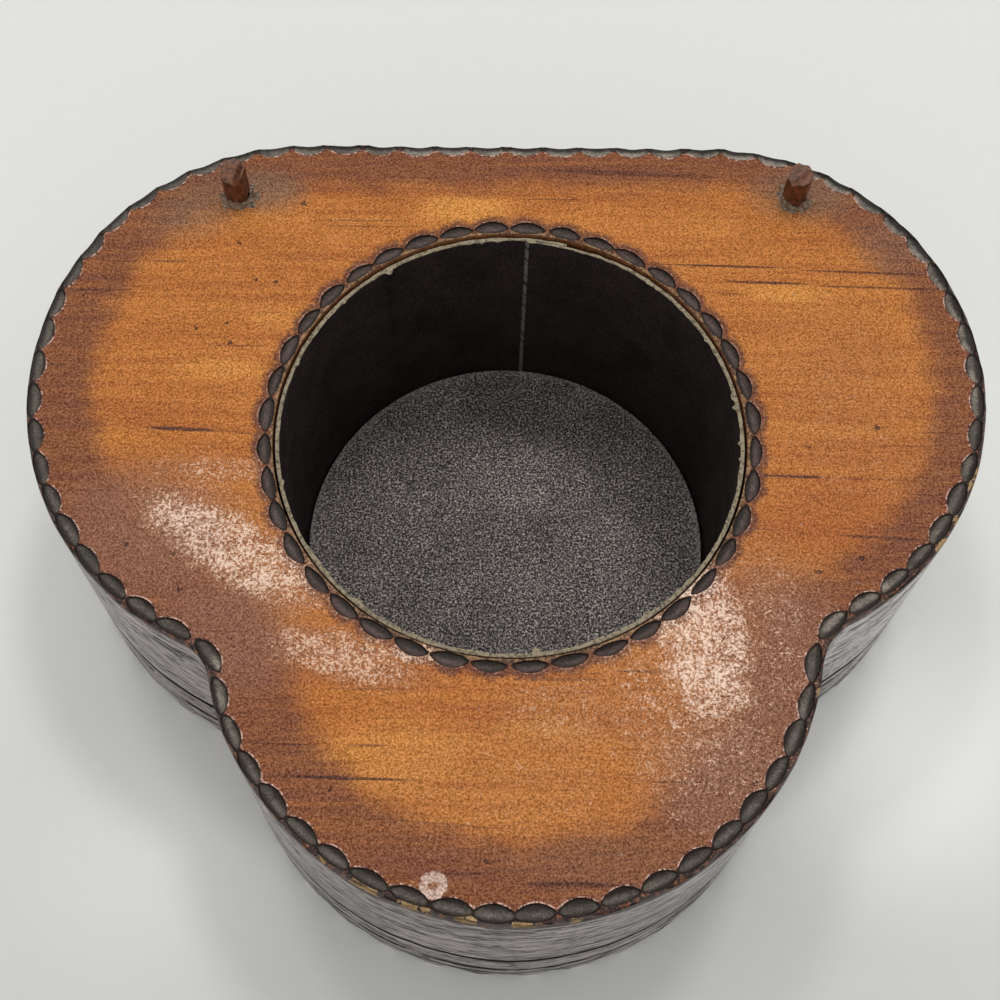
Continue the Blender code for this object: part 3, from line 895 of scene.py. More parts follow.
def carved_block(box, finishes):
    """The block with its bore, its peg holes, its burnt lines and its rows of nicks."""
    walk = uneven_walk(box)
    rim = rim_walk(box.lining.well_radius, box.plan.fineness)
    lines = wall_rows(walk, BURNT_LINES, box)
    block = uncut_block(box, walk, rim, lines, finishes)
    nicks = box.nicks
    edge_size = (nicks.edge_length, nicks.edge_width, nicks.edge_depth, nicks.unlike)
    rim_size = (nicks.rim_length, nicks.rim_width, nicks.rim_depth, nicks.unlike)
    edge_places = []
    for place, out in paced(walk, nicks.edge_pitch):
        inset = nicks.edge_inset + nicks.right_shift * out.x - nicks.front_shift * out.y
        edge_places.append((place, out, inset))
    rim_places = [(place, out, nicks.rim_inset) for place, out in paced(rim, nicks.rim_pitch)]
    cutters = gouges("edge", edge_places, BLOCK_HIGH.z, 1, edge_size, finishes, 3)
    cutters += gouges("rim", rim_places, BLOCK_HIGH.z, 1, rim_size, finishes, 5)
    carve(block, cutters)
    block.data.name = "carved_block"
    hollows = set()
    for face in block.data.polygons:
        if face.material_index == HOLLOW:
            hollows.update(face.vertices)
    points = [vertex.co for vertex in block.data.vertices]
    edge = [place.to_3d() for place, _ in walk]
    store(block.data, "from_nick", nearest(points, [points[index] for index in hollows]))
    store(block.data, "from_edge", nearest([flattened(point) for point in points], edge))
    store(block.data, "beside", beside_nicks(points, edge_places + rim_places))
    store(block.data, "from_burn", from_burns(points, walk, lines, box))
    settle(block, "body_block")


def sawn_board(box, finishes):
    """The thin board under the block, with its lower row of nicks."""
    walk = uneven_walk(box)
    work = bmesh.new()
    low, high = BOARD_LOW.z, BOARD_HIGH.z
    still = [0] * len(walk)
    steps = 5
    rows = [([low + (high - low) * step / steps] * len(walk), still) for step in range(steps + 1)]
    rings = box_wall(work, walk, rows)
    flat_fill(work, [rings[-1]], [], high, WALL, True)
    flat_fill(work, [rings[0]], [], low, WALL, False)
    board = from_bmesh("sawn_board", work, finishes)
    nicks = box.nicks
    size = (nicks.foot_length, nicks.foot_width, nicks.foot_depth, nicks.foot_unlike)
    places = [(place, out, nicks.foot_inset) for place, out in paced(walk, nicks.foot_pitch)]
    carve(board, gouges("foot", places, low, -1, size, finishes, 11))
    board.data.name = "sawn_board"
    # The board has no burnt line, so all of it lies far from one
    far = 10 * MILLIMETRE
    store(board.data, "from_burn", [far] * len(board.data.vertices))
    settle(board, "base_board")


def eased(share):
    """A share from 0 to 1, eased at both ends."""
    share = min(max(share, 0), 1)
    return share * share * (3 - 2 * share)


def lapped(box, turn):
    """How far the strip is into its lap, from 0 to 1, at an angle past its hidden end."""
    lining = box.lining
    easing = lining.seam_easing / (lining.well_radius - lining.gap)
    return eased((turn - math.tau + easing) / easing)


def draw_in(box, turn):
    """How far the strip has moved in from the bore, at an angle past its hidden end."""
    return box.lining.lap_step * lapped(box, turn)


def pared(box, turn):
    """The strip's thickness, which is pared down to lie under or over the other end."""
    lining = box.lining
    easing = lining.seam_easing / (lining.well_radius - lining.gap)
    thin = max(lapped(box, turn), 1 - eased(turn / easing))
    return lining.thickness + (lining.lap_step * 0.85 - lining.thickness) * thin


def flocked_strip(box, flock, card):
    """The strip of flocked card round the well, with its torn edge and its lapped seam."""
    lining = box.lining
    outer = lining.well_radius - lining.gap
    lap = lining.seam_lap / outer
    count = math.ceil((math.tau + lap) * outer / box.plan.fineness)
    low, high = STRIP_LOW.z, STRIP_HIGH.z
    work = bmesh.new()
    rows = [[] for _ in range(8)]
    for step in range(count + 1):
        turn = (math.tau + lap) * step / count
        way = around(1, lining.seam_angle - lap + turn)
        radius = outer - draw_in(box, turn)
        thickness = pared(box, turn)
        torn = lining.raggedness * (wander(way, 0.06, 0.5) + 0.8 * wander(way, 0.022, 4.5))
        burr = max(wander(way, 0.035, 8.5) - 0.42, 0) * lining.thickness * 4
        lift = lining.raggedness * wander(way, 0.045, 6.5)
        inner = radius - thickness
        profile = (
            (radius, low),
            (radius, high - thickness / 3),
            (radius - thickness * 0.12, high + lift),
            (radius - thickness / 2, high + lift + lining.raggedness * wander(way, 0.018, 2.5)),
            (inner - torn - burr, high + lift / 2),
            (inner - torn / 2 - burr * 0.8, high - thickness * 0.35),
            (inner, high - thickness * 1.4),
            (inner, low),
        )
        for row, (reach, rise) in zip(rows, profile):
            row.append(work.verts.new((*(way * reach), rise)))
    slots = (0, 1, 1, 1, 1, 0, 0, 0)
    for index, slot in enumerate(slots):
        band(work, rows[index], rows[(index + 1) % len(rows)], slot, closed=False)
    work.faces.new([row[0] for row in rows]).material_index = 1
    work.faces.new([row[-1] for row in reversed(rows)]).material_index = 1
    strip = from_bmesh("flocked_strip", work, [flock, card])
    settle(strip, "wall_liner", 50)


def disc_radius(share, flat, whole):
    """Radius of a ring of the disc. The last tenth of the rings lies on the border outside the flat."""
    border_from = 0.9
    if share < border_from:
        return min(flat * share**0.8 / 0.97, flat)
    return min(flat + (whole - flat) * (share - border_from) / (1 - border_from), whole)


def flocked_disc(box, finish):
    """The flocked disc on the floor of the well, with its border turned up against the strip."""
    lining = box.lining
    seam = lining.well_radius - lining.gap
    lap = lining.seam_lap / seam
    low = DISC_LOW.z
    flat = low + 0.4 * MILLIMETRE
    rise = DISC_HIGH.z - flat
    sectors = 360
    rings = 46
    work = bmesh.new()
    ways = []
    reaches = []
    for sector in range(sectors):
        turn = lap + math.tau * sector / sectors
        ways.append(around(1, lining.seam_angle - lap + turn))
        wall = seam - lining.thickness - max(draw_in(box, turn), draw_in(box, turn + math.tau))
        reaches.append(wall - lining.gap / 2)
    loops = []
    for ring in range(1, rings + 1):
        loop = []
        for way, reach in zip(ways, reaches):
            inner = reach - lining.border
            radius = disc_radius(ring / rings, inner, reach)
            turned = min(max((radius - inner) / lining.border, 0), 1)
            place = way * radius
            lump = 0.06 * MILLIMETRE * wander(place, 0.004, 1) + 0.03 * MILLIMETRE * wander(place, 0.0012, 2)
            loop.append(work.verts.new((*place, flat + rise * turned**1.5 + lump)))
        loops.append(loop)
    fan(work, loops[0], (0, 0, flat), 0)
    for lower, upper in zip(loops, loops[1:]):
        band(work, upper, lower, 0)
    under = ring_of(work, [vertex.co.to_2d() * 0.985 for vertex in loops[-1]], low)
    band(work, under, loops[-1], 0)
    work.faces.new(under[::-1])
    disc = from_bmesh("flocked_disc", work, [finish])
    settle(disc, "floor_liner", 60)


def peg_end(box, side, reach):
    """How far a peg's broken end lies below its highest point, at a place from its axis."""
    pegs = box.pegs
    split_width = 0.28 * MILLIMETRE
    tear_size = 0.7 * MILLIMETRE
    tear_depth = 0.2 * MILLIMETRE
    facing = around(1, getattr(pegs, side + "_facing"))
    beside = reach.dot(Vector((-facing.y, facing.x)))
    fall = max(reach.dot(facing) + pegs.diameter / 6, 0) * math.tan(getattr(pegs, side + "_lean"))
    away = beside - getattr(pegs, side + "_split_place")
    split = getattr(pegs, side + "_split") * math.exp(-((away / split_width) ** 2))
    torn = tear_depth * noise.noise(reach.to_3d() / tear_size + Vector((0, 0, len(side))))
    return fall + split + abs(torn)


def whittled_shaft(work, box, side, low, high):
    """The knife-cut sides of a peg, row by row. Gives its rings."""
    pegs = box.pegs
    place = peg_places(box)[side]
    chance = random.Random(side)
    facets = 8
    between = 7
    rows = 44
    corners = []
    for facet in range(facets):
        corners.append(around(pegs.diameter / 2, math.tau * (facet + chance.uniform(-0.3, 0.3)) / facets))
    outline = []
    for start, end in zip(corners, corners[1:] + corners[:1]):
        outline += [start.lerp(end, step / between) for step in range(between)]
    rings = []
    for row in range(rows + 1):
        share = row / rows
        ring = []
        for index, corner in enumerate(outline):
            reach = corner * (1 - 0.07 * share)
            rise = low + (high - peg_end(box, side, reach) - low) * share
            knife = noise.noise(Vector((index // between * 3.1, rise / 0.004, 0.5))) * 0.14
            fibre = noise.noise(Vector((reach.x, reach.y, rise / 5)) / 0.0004) * 0.09
            reach += reach.normalized() * (knife + fibre) * MILLIMETRE
            ring.append(work.verts.new((*(place + reach), rise)))
        rings.append(ring)
    for lower, upper in zip(rings, rings[1:]):
        band(work, lower, upper, 0)
    return rings


def whittled_peg(box, side, finishes):
    """A whittled peg with knife facets, its end broken off askew and split."""
    place = peg_places(box)[side]
    low = BLOCK_HIGH.z - box.pegs.seat + box.lining.gap
    high = BLOCK_HIGH.z + getattr(box.pegs, side + "_stand")
    work = bmesh.new()
    rings = whittled_shaft(work, box, side, low, high)
    work.faces.new(rings[0][::-1])
    circles = 7
    inner = rings[-1]
    for circle in range(1, circles):
        ring = []
        for vertex in rings[-1]:
            reach = (vertex.co.to_2d() - place) * (1 - circle / circles)
            ring.append(work.verts.new((*(place + reach), high - peg_end(box, side, reach))))
        band(work, inner, ring, 1)
        inner = ring
    fan(work, inner, (*place, high - peg_end(box, side, Vector((0, 0)))), 1)
    peg = from_bmesh("whittled_peg_" + side, work, finishes)
    settle(peg, "peg_" + side, 28)


def glue_crust(box, side, finish):
    """The crumbly ring of glue round a peg, which breaks up into crumbs where it thins out."""
    pegs = box.pegs
    place = peg_places(box)[side]
    inner = pegs.diameter / 2 - 0.25 * MILLIMETRE
    low = BLOCK_HIGH.z
    layer = Vector((0, 0, len(side)))
    sunk = -0.12 * MILLIMETRE
    sectors = 140
    rings = 30
    work = bmesh.new()
    loops = []
    for ring in range(rings + 1):
        share = ring / rings
        loop = []
        for sector in range(sectors):
            way = around(1, math.tau * sector / sectors)
            reach = pegs.crust_width * (1 + 0.5 * noise.noise(way.to_3d() * 1.4 + layer))
            point = place + way * (inner + reach * share)
            lumps = 0.75 + 0.6 * noise.noise(way.to_3d() * 2.2 + layer)
            crumb = 0.45 * noise.noise(point.to_3d() / 0.0009) + 0.3 * noise.noise(point.to_3d() / 0.0004)
            height = pegs.crust_height * (1 - share) ** 3 * lumps
            height += (crumb * (1 - share**4) - 0.16 * share) * MILLIMETRE
            height = max(height, sunk) if ring < rings else sunk
            loop.append(work.verts.new((*point, low + height)))
        loops.append(loop)
    for lower, upper in zip(loops[1:], loops):
        band(work, lower, upper, 0)
    under = ring_of(work, [vertex.co.to_2d() for vertex in loops[0]], low + sunk)
    band(work, loops[0], under, 0)
    band(work, under, loops[-1], 0)
    crust = from_bmesh("glue_crust_" + side, work, [finish])
    settle(crust, "glue_bead_" + side, 50)


# Grain lines on the top, in millimetres: from and to along X, from and to along Y, width and strength
GRAIN_LINES = (
    (-53, -40, 0.4, -0.1, 0.5, 1),
    (-42, -35, 0, -0.6, 0.25, 0.5),
    (21, 43, 28.6, 28.1, 0.3, 1),
    (42, 64, 27.8, 27.1, 0.33, 0.95),
    (31, 46, 25.7, 25.3, 0.36, 1),
    (43, 66, 25.1, 24.6, 0.3, 0.85),
    (34, 46, -6.3, -6.6, 0.36, 1),
    (44, 58, -6.6, -7, 0.2, 0.5),
    (-31, -11, -49.7, -50.2, 0.36, 0.95),
    (0, 15, -63.3, -63.3, 0.5, 0.85),
    (44, 59, -15.3, -16.1, 0.42, 0.8),
    (-61, -55, 28.1, 28.1, 0.26, 0.7),
    (-54, -47, 28.2, 28.2, 0.26, 0.7),
    (-65, -55, 23.1, 23.1, 0.27, 0.75),
    (-68, -63, 10.4, 10.4, 0.24, 0.7),
    (-50, -30, 19.5, 19.5, 0.2, 0.4),
    (-45, -34, 13.8, 13.8, 0.22, 0.55),
    (-38, -25, 28.8, 28.8, 0.2, 0.4),
    (-32, -13, 35.8, 35.8, 0.22, 0.6),
    (-31, -12, 34.8, 34.8, 0.22, 0.55),
    (1, 12, 40, 40, 0.22, 0.7),
    (28, 36, 23.9, 23.3, 0.22, 0.6),
    (57, 66, 0.7, 0.5, 0.22, 0.6),
    (54, 64, -9.1, -9.1, 0.22, 0.6),
    (52, 61, -1.5, -1.5, 0.2, 0.4),
    (42, 49, 34.5, 34.5, 0.2, 0.4),
    (-35, -25, -45.4, -45.6, 0.24, 0.6),
    (-22, -15, -45.6, -45.6, 0.24, 0.6),
    (-25, -12, -38, -38, 0.22, 0.5),
    (-22, 1, -54.8, -56.5, 0.24, 0.5),
    (-11, 0, -62, -62, 0.25, 0.6),
    (32, 37, -14.6, -14.6, 0.24, 0.7),
    (13, 22, -35.3, -35.3, 0.25, 0.6),
    (16, 22, -37.8, -37.8, 0.24, 0.5),
    (21, 32, -41.2, -41.2, 0.26, 0.6),
    (17, 29, -50.2, -50.2, 0.26, 0.6),
    (0, 14, -36.5, -36.5, 0.35, 0.5),
    (3, 32, 45.6, 44.4, 0.8, 0.6),
    (11.9, 11.9, 38, 44.5, 0.12, 0.35),
)

# Pits in the top, in millimetres: place and radius
PITS = (
    (-31.4, 38.8, 0.6),
    (-37.8, 25, 0.4),
    (-34.8, 24.8, 0.5),
    (-40.8, 31.5, 0.35),
    (-41.5, 17.6, 0.4),
    (-46, 16.7, 0.35),
    (-40.8, 14.3, 0.45),
    (-63, 22, 0.4),
    (-41.4, -16, 0.75),
    (-44.8, -24.2, 0.45),
    (-52.6, -17.7, 0.55),
    (-46, -18.9, 0.4),
    (-19.7, -32.4, 0.6),
    (52.4, 1.4, 0.55),
    (42.3, -1.9, 0.35),
    (48.3, -18.8, 0.5),
    (42.2, -20.9, 0.45),
    (31.5, -50.2, 0.6),
    (-23, -51.4, 0.35),
    (-3, -60.5, 0.4),
)

# Soft ovals of the top, in millimetres: place, half lengths, slope and strength. First the palest wood
LIGHT_POOLS = (
    (-41.5, 10, 9, 2.6, 0, 0.55),
    (-34, 18.5, 6, 3, 0, 0.4),
    (-7, 38, 10, 3.4, 0, 0.75),
    (41, 23.5, 9, 2.4, -0.03, 0.6),
    (5, -43, 9, 2.6, 0, 0.45),
    (-15, -47.5, 14, 7, -0.05, 0.5),
    (-1, -52, 17, 7, 0, 0.3),
    (28, 36, 9, 4, 0, 0.3),
)

# The reddest wood
ORANGE_POOLS = (
    (46, -13, 17, 8, 0, 0.75),
    (50, 14, 10, 8, 0, 0.35),
    (-50, 2, 8, 5, 0, 0.4),
    (6, 42.5, 8, 3, 0, 0.5),
)

# Dust in the lacquer
DUSTY_POOLS = (
    (-37.5, 41, 7, 4.6, 0, 0.85),
    (-47, 38, 10, 6, 0.5, 0.6),
    (45, 41.5, 9, 6, 0, 0.75),
    (57, 32, 7, 6, -0.9, 0.45),
    (14, -61, 14, 5, 0, 0.25),
    (30, -44, 9, 12, 0, 0.3),
)

# Painted sheen: where the soft reflection of the lamps round the glints is painted into the lacquer's colour
PAINTED_SHEEN_POOLS = (
    (-50, -16, 16, 12, -0.5, 0.85),
    (-38, -30, 13, 11, -0.6, 0.85),
    (36, -32, 12, 17, 0.2, 0.7),
    (28, -50, 12, 12, 0.4, 0.7),
)

# Painted highlights: where the lamps' glints on the lacquer are painted densest
PAINTED_GLINT_POOLS = (
    (-38, -18, 19, 6.5, -0.55, 1),
    (-42, -14, 17, 12, -0.5, 0.42),
    (-41, -6, 14, 3, -0.05, 0.55),
    (-22, -33.5, 14, 5, -0.25, 0.8),
    (-13, -33, 5, 2.5, 0, 0.9),
    (26, -31, 8.5, 17, 0.12, 1),
    (24, -40, 17, 22, 0.1, 0.55),
    (8, -41, 14, 8, 0, 0.45),
    (35, -30, 12, 18, 0.1, 0.45),
    (0, -52, 26, 14, 0, 0.3),
    (50, 5, 17, 26, 0, 0.28),
)

# Stretches of the edge where the painted sheen in the nicks is strongest, so that they are greyest
NICK_SHEEN_POOLS = (
    (46, -24, 13, 9, -0.6, 0.75),
    (33, -36, 8, 8, 0, 0.5),
    (-34, -37, 8, 8, 0, 0.7),
    (58, 10, 8, 30, 0, 0.4),
)

# Places along the upper edge where it has chipped to bare wood, in millimetres: place and reach
CHIPS = (
    (65.3, -6.5, 2.6),
    (61.8, -13, 1.2),
    (59.3, -16.6, 1.6),
    (40.7, -38, 0.7),
    (-24, -60.5, 1),
    (-18.5, -63.8, 2.6),
    (-12, -66.4, 3),
    (-5.7, -68, 1.9),
    (1.5, -68.5, 1.6),
    (8, -68, 0.9),
)

# The scar near the front, in millimetres
SCAR = (-9.65, -63.5)


def most_of(masks):
    """The largest of several masks."""
    result = None
    for mask in masks:
        result = mask if result is None else result.most(mask)
    return result


def pool_mask(finish, flat, pools):
    """Soft patches of the top."""
    return most_of(
        finish.smooth(finish.oval(flat, x, y, half_x, half_y, turn), 1.25, 0.3) * strength
        for x, y, half_x, half_y, turn, strength in pools
    )


def grain_line_mask(finish, flat):
    """Thin dark lines of resin along the grain, which taper to both ends."""
    masks = []
    for x_from, x_to, y_from, y_to, width, strength in GRAIN_LINES:
        way = Vector((x_to - x_from, y_to - y_from))
        middle = ((x_from + x_to) / 2, (y_from + y_to) / 2)
        away = finish.oval(flat, *middle, way.length / 2, width * 0.75, math.atan2(way.y, way.x))
        masks.append(finish.smooth(away, 1.1, 0.55) * strength)
    return most_of(masks)


def pit_mask(finish, flat, grit):
    """The pits in the top, with borders roughened by grit."""
    return most_of(
        finish.smooth(finish.distance(flat, x, y) + (grit - 0.5) * 0.3, radius, radius * 0.35)
        for x, y, radius in PITS
    )


def chip_mask(finish, flat, ragged):
    """Where the upper edge has chipped to bare wood."""
    chips = most_of(
        finish.smooth(finish.distance(flat, x, y), reach * 1.25, reach * 0.5) for x, y, reach in CHIPS
    )
    return finish.smooth(chips + (ragged - 0.5) * 3.4, 0.6, 0.75)


def scar_mask(finish, flat):
    """A ring of pale glue with a brown middle."""
    away = finish.distance(flat, *SCAR) + (finish.noise(flat, 0.9, 3) - 0.5)
    patchy = finish.smooth(finish.noise(flat, 1.7, 3, 0.7), 0.42, 0.5)
    middle = finish.smooth(away, 0.35, 0.8) * 0.85 + 0.15
    return finish.smooth(away, 1.9, 1.65) * middle * (patchy * 0.55 + 0.45)


class Top:
    """The top's finish, with the places and the noises that its layers share."""

    def __init__(self, box):
        finish = Finish("lacquered_pine", {"IOR": 1.5, "Specular IOR Level": 0.22})
        self.finish = finish
        self.tones = box.colours
        self.place = finish.place()
        self.flat = finish.flat(self.place)
        self.along, self.across, _ = finish.parts(self.place)
        self.from_edge = finish.stored("from_edge")
        self.from_nick = finish.stored("from_nick")
        self.from_rim = finish.span(self.flat) - box.lining.well_radius / MILLIMETRE
        self.near_rim = finish.smooth(self.from_rim, 6, 3)
        bend = finish.grain(self.place, (0.03, 0.05, 0)) - 0.5
        swept = finish.joined(self.along, self.across + bend * 4)
        self.broad = finish.grain(swept, (0.012, 0.16, 0), 3, 0.55)
        self.rings = finish.grain(swept, (0.03, 0.85, 0), 4, 0.62, 0.3)
        self.fibres = finish.grain(self.place, (0.3, 4.5, 0), 3, 0.65)
        self.streaks = (finish.grain(self.place, (0.07, 0.4, 0), 4, 0.6) - 0.5) * 5
        self.mottle = finish.noise(self.place, 0.16, 4, 0.55)
        self.ragged = finish.noise(self.place, 1.1, 3, 0.65)
        self.grit = finish.smooth(finish.noise(self.place, 3.3, 3, 0.8), 0.33, 0.67)
        self.pits = pit_mask(finish, self.flat, self.grit)
        dots = finish.smooth(finish.cells(finish.stretch(self.place, (0.75, 1, 0)), 0.9), 0.16, 0.05)
        self.dots = dots * finish.smooth(finish.noise(self.place, 0.2, 3), 0.5, 0.62)

    def pools(self, ovals, streaked, faintest=0):
        """Soft patches whose borders are drawn out along the grain."""
        mask = pool_mask(self.finish, self.flat, ovals) + self.streaks * streaked
        return self.finish.smooth(mask, faintest, 1)


def grained_pine(top):
    """The wood's own colour: early and late wood in long bands, with redder and paler patches."""
    finish, tones = top.finish, top.tones
    late = finish.smooth(top.broad * 0.4 + top.rings * 0.4 + top.fibres * 0.2, 0.36, 0.66)
    return finish.layered(
        finish.mix(late, tones.amber, tones.orange),
        (top.pools(ORANGE_POOLS, 0.08) * 0.85, tones.orange),
        (top.pools(LIGHT_POOLS, 0.07, 0.05), tones.light),
    )


def stain_and_painted_sheen(top, wood):
    """The dark margin of the stain, the dust, and the painted sheen round the glints."""
    finish, tones = top.finish, top.tones
    # The margin is wider at the left and the front than at the right and the back
    width = 8.8 - top.along * 0.018 - top.across * 0.024
    edge_wave = top.streaks + (top.mottle - 0.5) * 5
    margin = finish.smooth(top.from_edge + edge_wave - width, 2.6, -2.6)
    veined = finish.smooth(top.rings * 0.6 + top.fibres * 0.4, 0.36, 0.62)
    return finish.layered(
        wood,
        (margin * (veined * 0.3 + 0.66), tones.margin),
        (pool_mask(finish, top.flat, DUSTY_POOLS) * 0.8, tones.dusty),
        # Painted sheen of the lamps, laid over the wood as colour
        (top.pools(PAINTED_SHEEN_POOLS, 0.05) * 0.88, tones.painted_sheen),
    )


def marked(top, wood):
    """Resin lines, short dark pores that follow the grain, pits and dots."""
    finish, tones = top.finish, top.tones
    ragged_line = finish.joined(top.along, top.across + (top.fibres - 0.5) * 0.35)
    lines = grain_line_mask(finish, ragged_line) * (finish.smooth(top.fibres, 0.3, 0.6) * 0.4 + 0.6)
    pores = finish.smooth(finish.grain(top.place, (0.16, 2.4, 0)), 0.64, 0.73)
    return finish.layered(
        wood,
        (lines * 0.92, tones.line),
        (pores * 0.35, tones.line),
        (top.pits * 0.85, tones.pit),
        (top.dots * 0.6, tones.line),
    )


def edged(top, wood):
    """What the iron and wear have left along the nicks, a painted highlight on their lips, and the scar."""
    finish, tones = top.finish, top.tones
    ragged = top.ragged
    # The burning iron leaves a dark edge beside each nick, wider round the well
    reach = top.near_rim * 0.75 + 0.25
    scorch = top.from_nick + (ragged - 0.5) * (top.near_rim * 2 + 0.4)
    scorch = finish.smooth(scorch, reach * 1.5, reach * 0.3) * (top.near_rim * 0.2 + 0.55)
    # Painted highlight: a bright thread along a nick's inner lip, where its rounded edge catches the lamps
    thread = finish.smooth(finish.noise(top.place, 1.4, 3, 0.7), 0.48, 0.56)
    inner_side = finish.smooth(finish.stored("beside"), -0.3, -0.7)
    lip = finish.smooth(top.from_nick, 0.3, 0.12) * thread * inner_side * (1 - top.near_rim * 0.55)
    # Wood is worn pale between the rim's nicks and the bore
    worn = finish.smooth(top.from_rim + (ragged - 0.5) * 0.9, 0.75, 0.35)
    worn_tone = finish.mix(finish.smooth(ragged, 0.4, 0.6), tones.worn_dark, tones.worn)
    rubbed = finish.smooth(top.from_edge + (ragged - 0.5) * 0.5, 1.1, 0.85)
    rubbed_tone = finish.mix(finish.smooth(ragged, 0.54, 0.62), tones.rubbed_dark, tones.rubbed)
    at_edge = finish.smooth(top.from_edge + (top.mottle - 0.5) * 2, 0.8, 0.5)
    return finish.layered(
        wood,
        (scorch, tones.scorch),
        (lip * 0.75, tones.lip),
        (worn * 0.85, worn_tone),
        (rubbed * 0.92, rubbed_tone),
        (chip_mask(finish, top.flat, ragged) * at_edge, tones.raw),
        (scar_mask(finish, top.flat) * 0.95, tones.scar),
    )


def grit_and_painted_glints(top, wood):
    """Grit and dust in the lacquer, and painted highlights: pale specks painted where the lamps glint on it.
    Gives the colour and the mask of the painted glints.
    """
    finish, tones = top.finish, top.tones
    # The lamps' glints are painted into the colour: a darker ground, then pale specks, densest in the glint
    # pools and sparse elsewhere
    painted_glint_mask = top.pools(PAINTED_GLINT_POOLS, 0.05)
    wood = finish.mix(painted_glint_mask * 0.5, wood, tones.painted_glint_ground)
    wood = finish.scaled(wood, top.grit * 0.95 + 0.53)
    sand = (top.grit - 0.52) * 0.06
    wood = finish.vector_maths("ADD", wood, finish.joined(sand, sand, sand))
    painted_glints = finish.noise(top.place, 2.9, 3, 0.85) * 0.8 + finish.noise(top.place, 0.6, 3, 0.6) * 0.2
    painted_glints = finish.smooth(painted_glints - (1 - painted_glint_mask) * 0.145, 0.48, 0.53)
    dust = finish.smooth(finish.cells(top.place, 0.42), 0.07, 0.03) * finish.smooth(top.mottle, 0.48, 0.6)
    wood = finish.layered(
        wood,
        (painted_glints * 0.8, finish.mix(painted_glint_mask, tones.painted_glint_dim, tones.painted_glint_colour)),
        (dust * 0.6, tones.dust),
    )
    return wood, painted_glints


def top_finish(box):
    """Lacquered pine: grain along X, a dark margin, resin lines, pits and a gloss full of fine grit, with
    painted glints and painted sheen.
    """
    top = Top(box)
    finish = top.finish
    wood, painted_glints = grit_and_painted_glints(top, edged(top, marked(top, stain_and_painted_sheen(top, grained_pine(top)))))
    lumps = finish.noise(top.place, 0.35, 2)
    peel = finish.noise(top.place, 2.9, 3, 0.65)
    height = lumps * 0.3 + peel * 0.13 + top.fibres * 0.04 - top.pits * 0.25 - top.dots * 0.1
    # The painted glints are also the only smooth spots in a lacquer full of grit
    roughness = 0.5 - painted_glints * 0.32
    normal = finish.bump(height, 0.16, 0.14)
    return finish.cover({"Base Color": wood, "Roughness": roughness, "Normal": normal})


def wall_finish(box):
    """Dark lacquered side grain: long streaks, dull and glossy, the glossy ones painted light as sheen, and
    black burnt lines.
    """
    tones = box.colours
    constants = {"IOR": 1.5, "Specular IOR Level": 0.08, "Coat IOR": 2.4, "Coat Roughness": 0.2}
    finish = Finish("lacquered_wall", constants)
    place = finish.place()
    along, across, height = finish.parts(place)
    streaks = finish.grain(place, (0.08, 0.08, 0.8), 4, 0.75, 0.1)
    threads = finish.grain(place, (0.2, 0.2, 2.2), 3, 0.7)
    blots = finish.grain(place, (0.3, 0.3, 1.1), 3, 0.6)
    ridges = finish.grain(place, (0.1, 0.1, 1.5), 3, 0.75)
    ragged = finish.noise(place, 1.1, 3, 0.65)
    # A thin crack runs wherever this noise passes through its middle
    cracks = finish.smooth(abs(finish.grain(place, (0.07, 0.07, 0.7), 3, 0.7) - 0.5), 0.012, 0.032)
    # Painted sheen: the glossy streaks get a light grey-purple colour as well as the coat, with dark grooves
    # between them
    sheen = finish.smooth(streaks * 0.7 + threads * 0.3, 0.43, 0.46)
    sheen = sheen * cracks * finish.smooth(ridges, 0.38, 0.43)
    light = finish.mix(finish.smooth(threads, 0.35, 0.6), tones.wall_dull, tones.wall)
    # Stain has run down from the top, furthest at the front
    top = BLOCK_HIGH.z / MILLIMETRE
    run = finish.smooth(across, -42, -60) * 1.3 + 0.65
    strip = finish.smooth(height + (blots - 0.5) * 1.6 + run, top - 0.15, top + 0.1)
    stain = finish.mix(finish.smooth(ragged, 0.52, 0.6), tones.run_dark, tones.run)
    from_joint = abs(height - BOARD_HIGH.z / MILLIMETRE)
    burnt = finish.smooth(finish.stored("from_burn") + (ragged - 0.5) * 1.2, 1.1, 0.75)
    burnt = burnt.most(finish.smooth(from_joint + (streaks - 0.5) * 2, 0.55, 0.25))
    chips = chip_mask(finish, finish.flat(place), ragged)
    chips = chips * finish.smooth(height + (blots - 0.5) * 1.8, top - 0.9, top - 0.7)
    tone = finish.layered(
        finish.mix(sheen, tones.wall_streak, light),
        (strip * 0.94, stain),
        (burnt, tones.burnt),
        (chips, finish.scaled(tones.raw, finish.smooth(threads, 0.38, 0.6) * 0.75 + 0.3)),
    )
    coat = sheen * (along * 0.003 + 0.95) * (1 - strip * 0.7) * (1 - burnt) * (1 - chips)
    relief = streaks * 0.5 + threads * 0.25 + finish.noise(place, 2.5, 2) * 0.2
    normal = finish.bump(relief, 0.3, 0.12)
    roughness = finish.smooth(streaks, 0.4, 0.7) * 0.15 + 0.34
    return finish.cover({"Base Color": tone, "Roughness": roughness, "Coat Weight": coat, "Normal": normal})


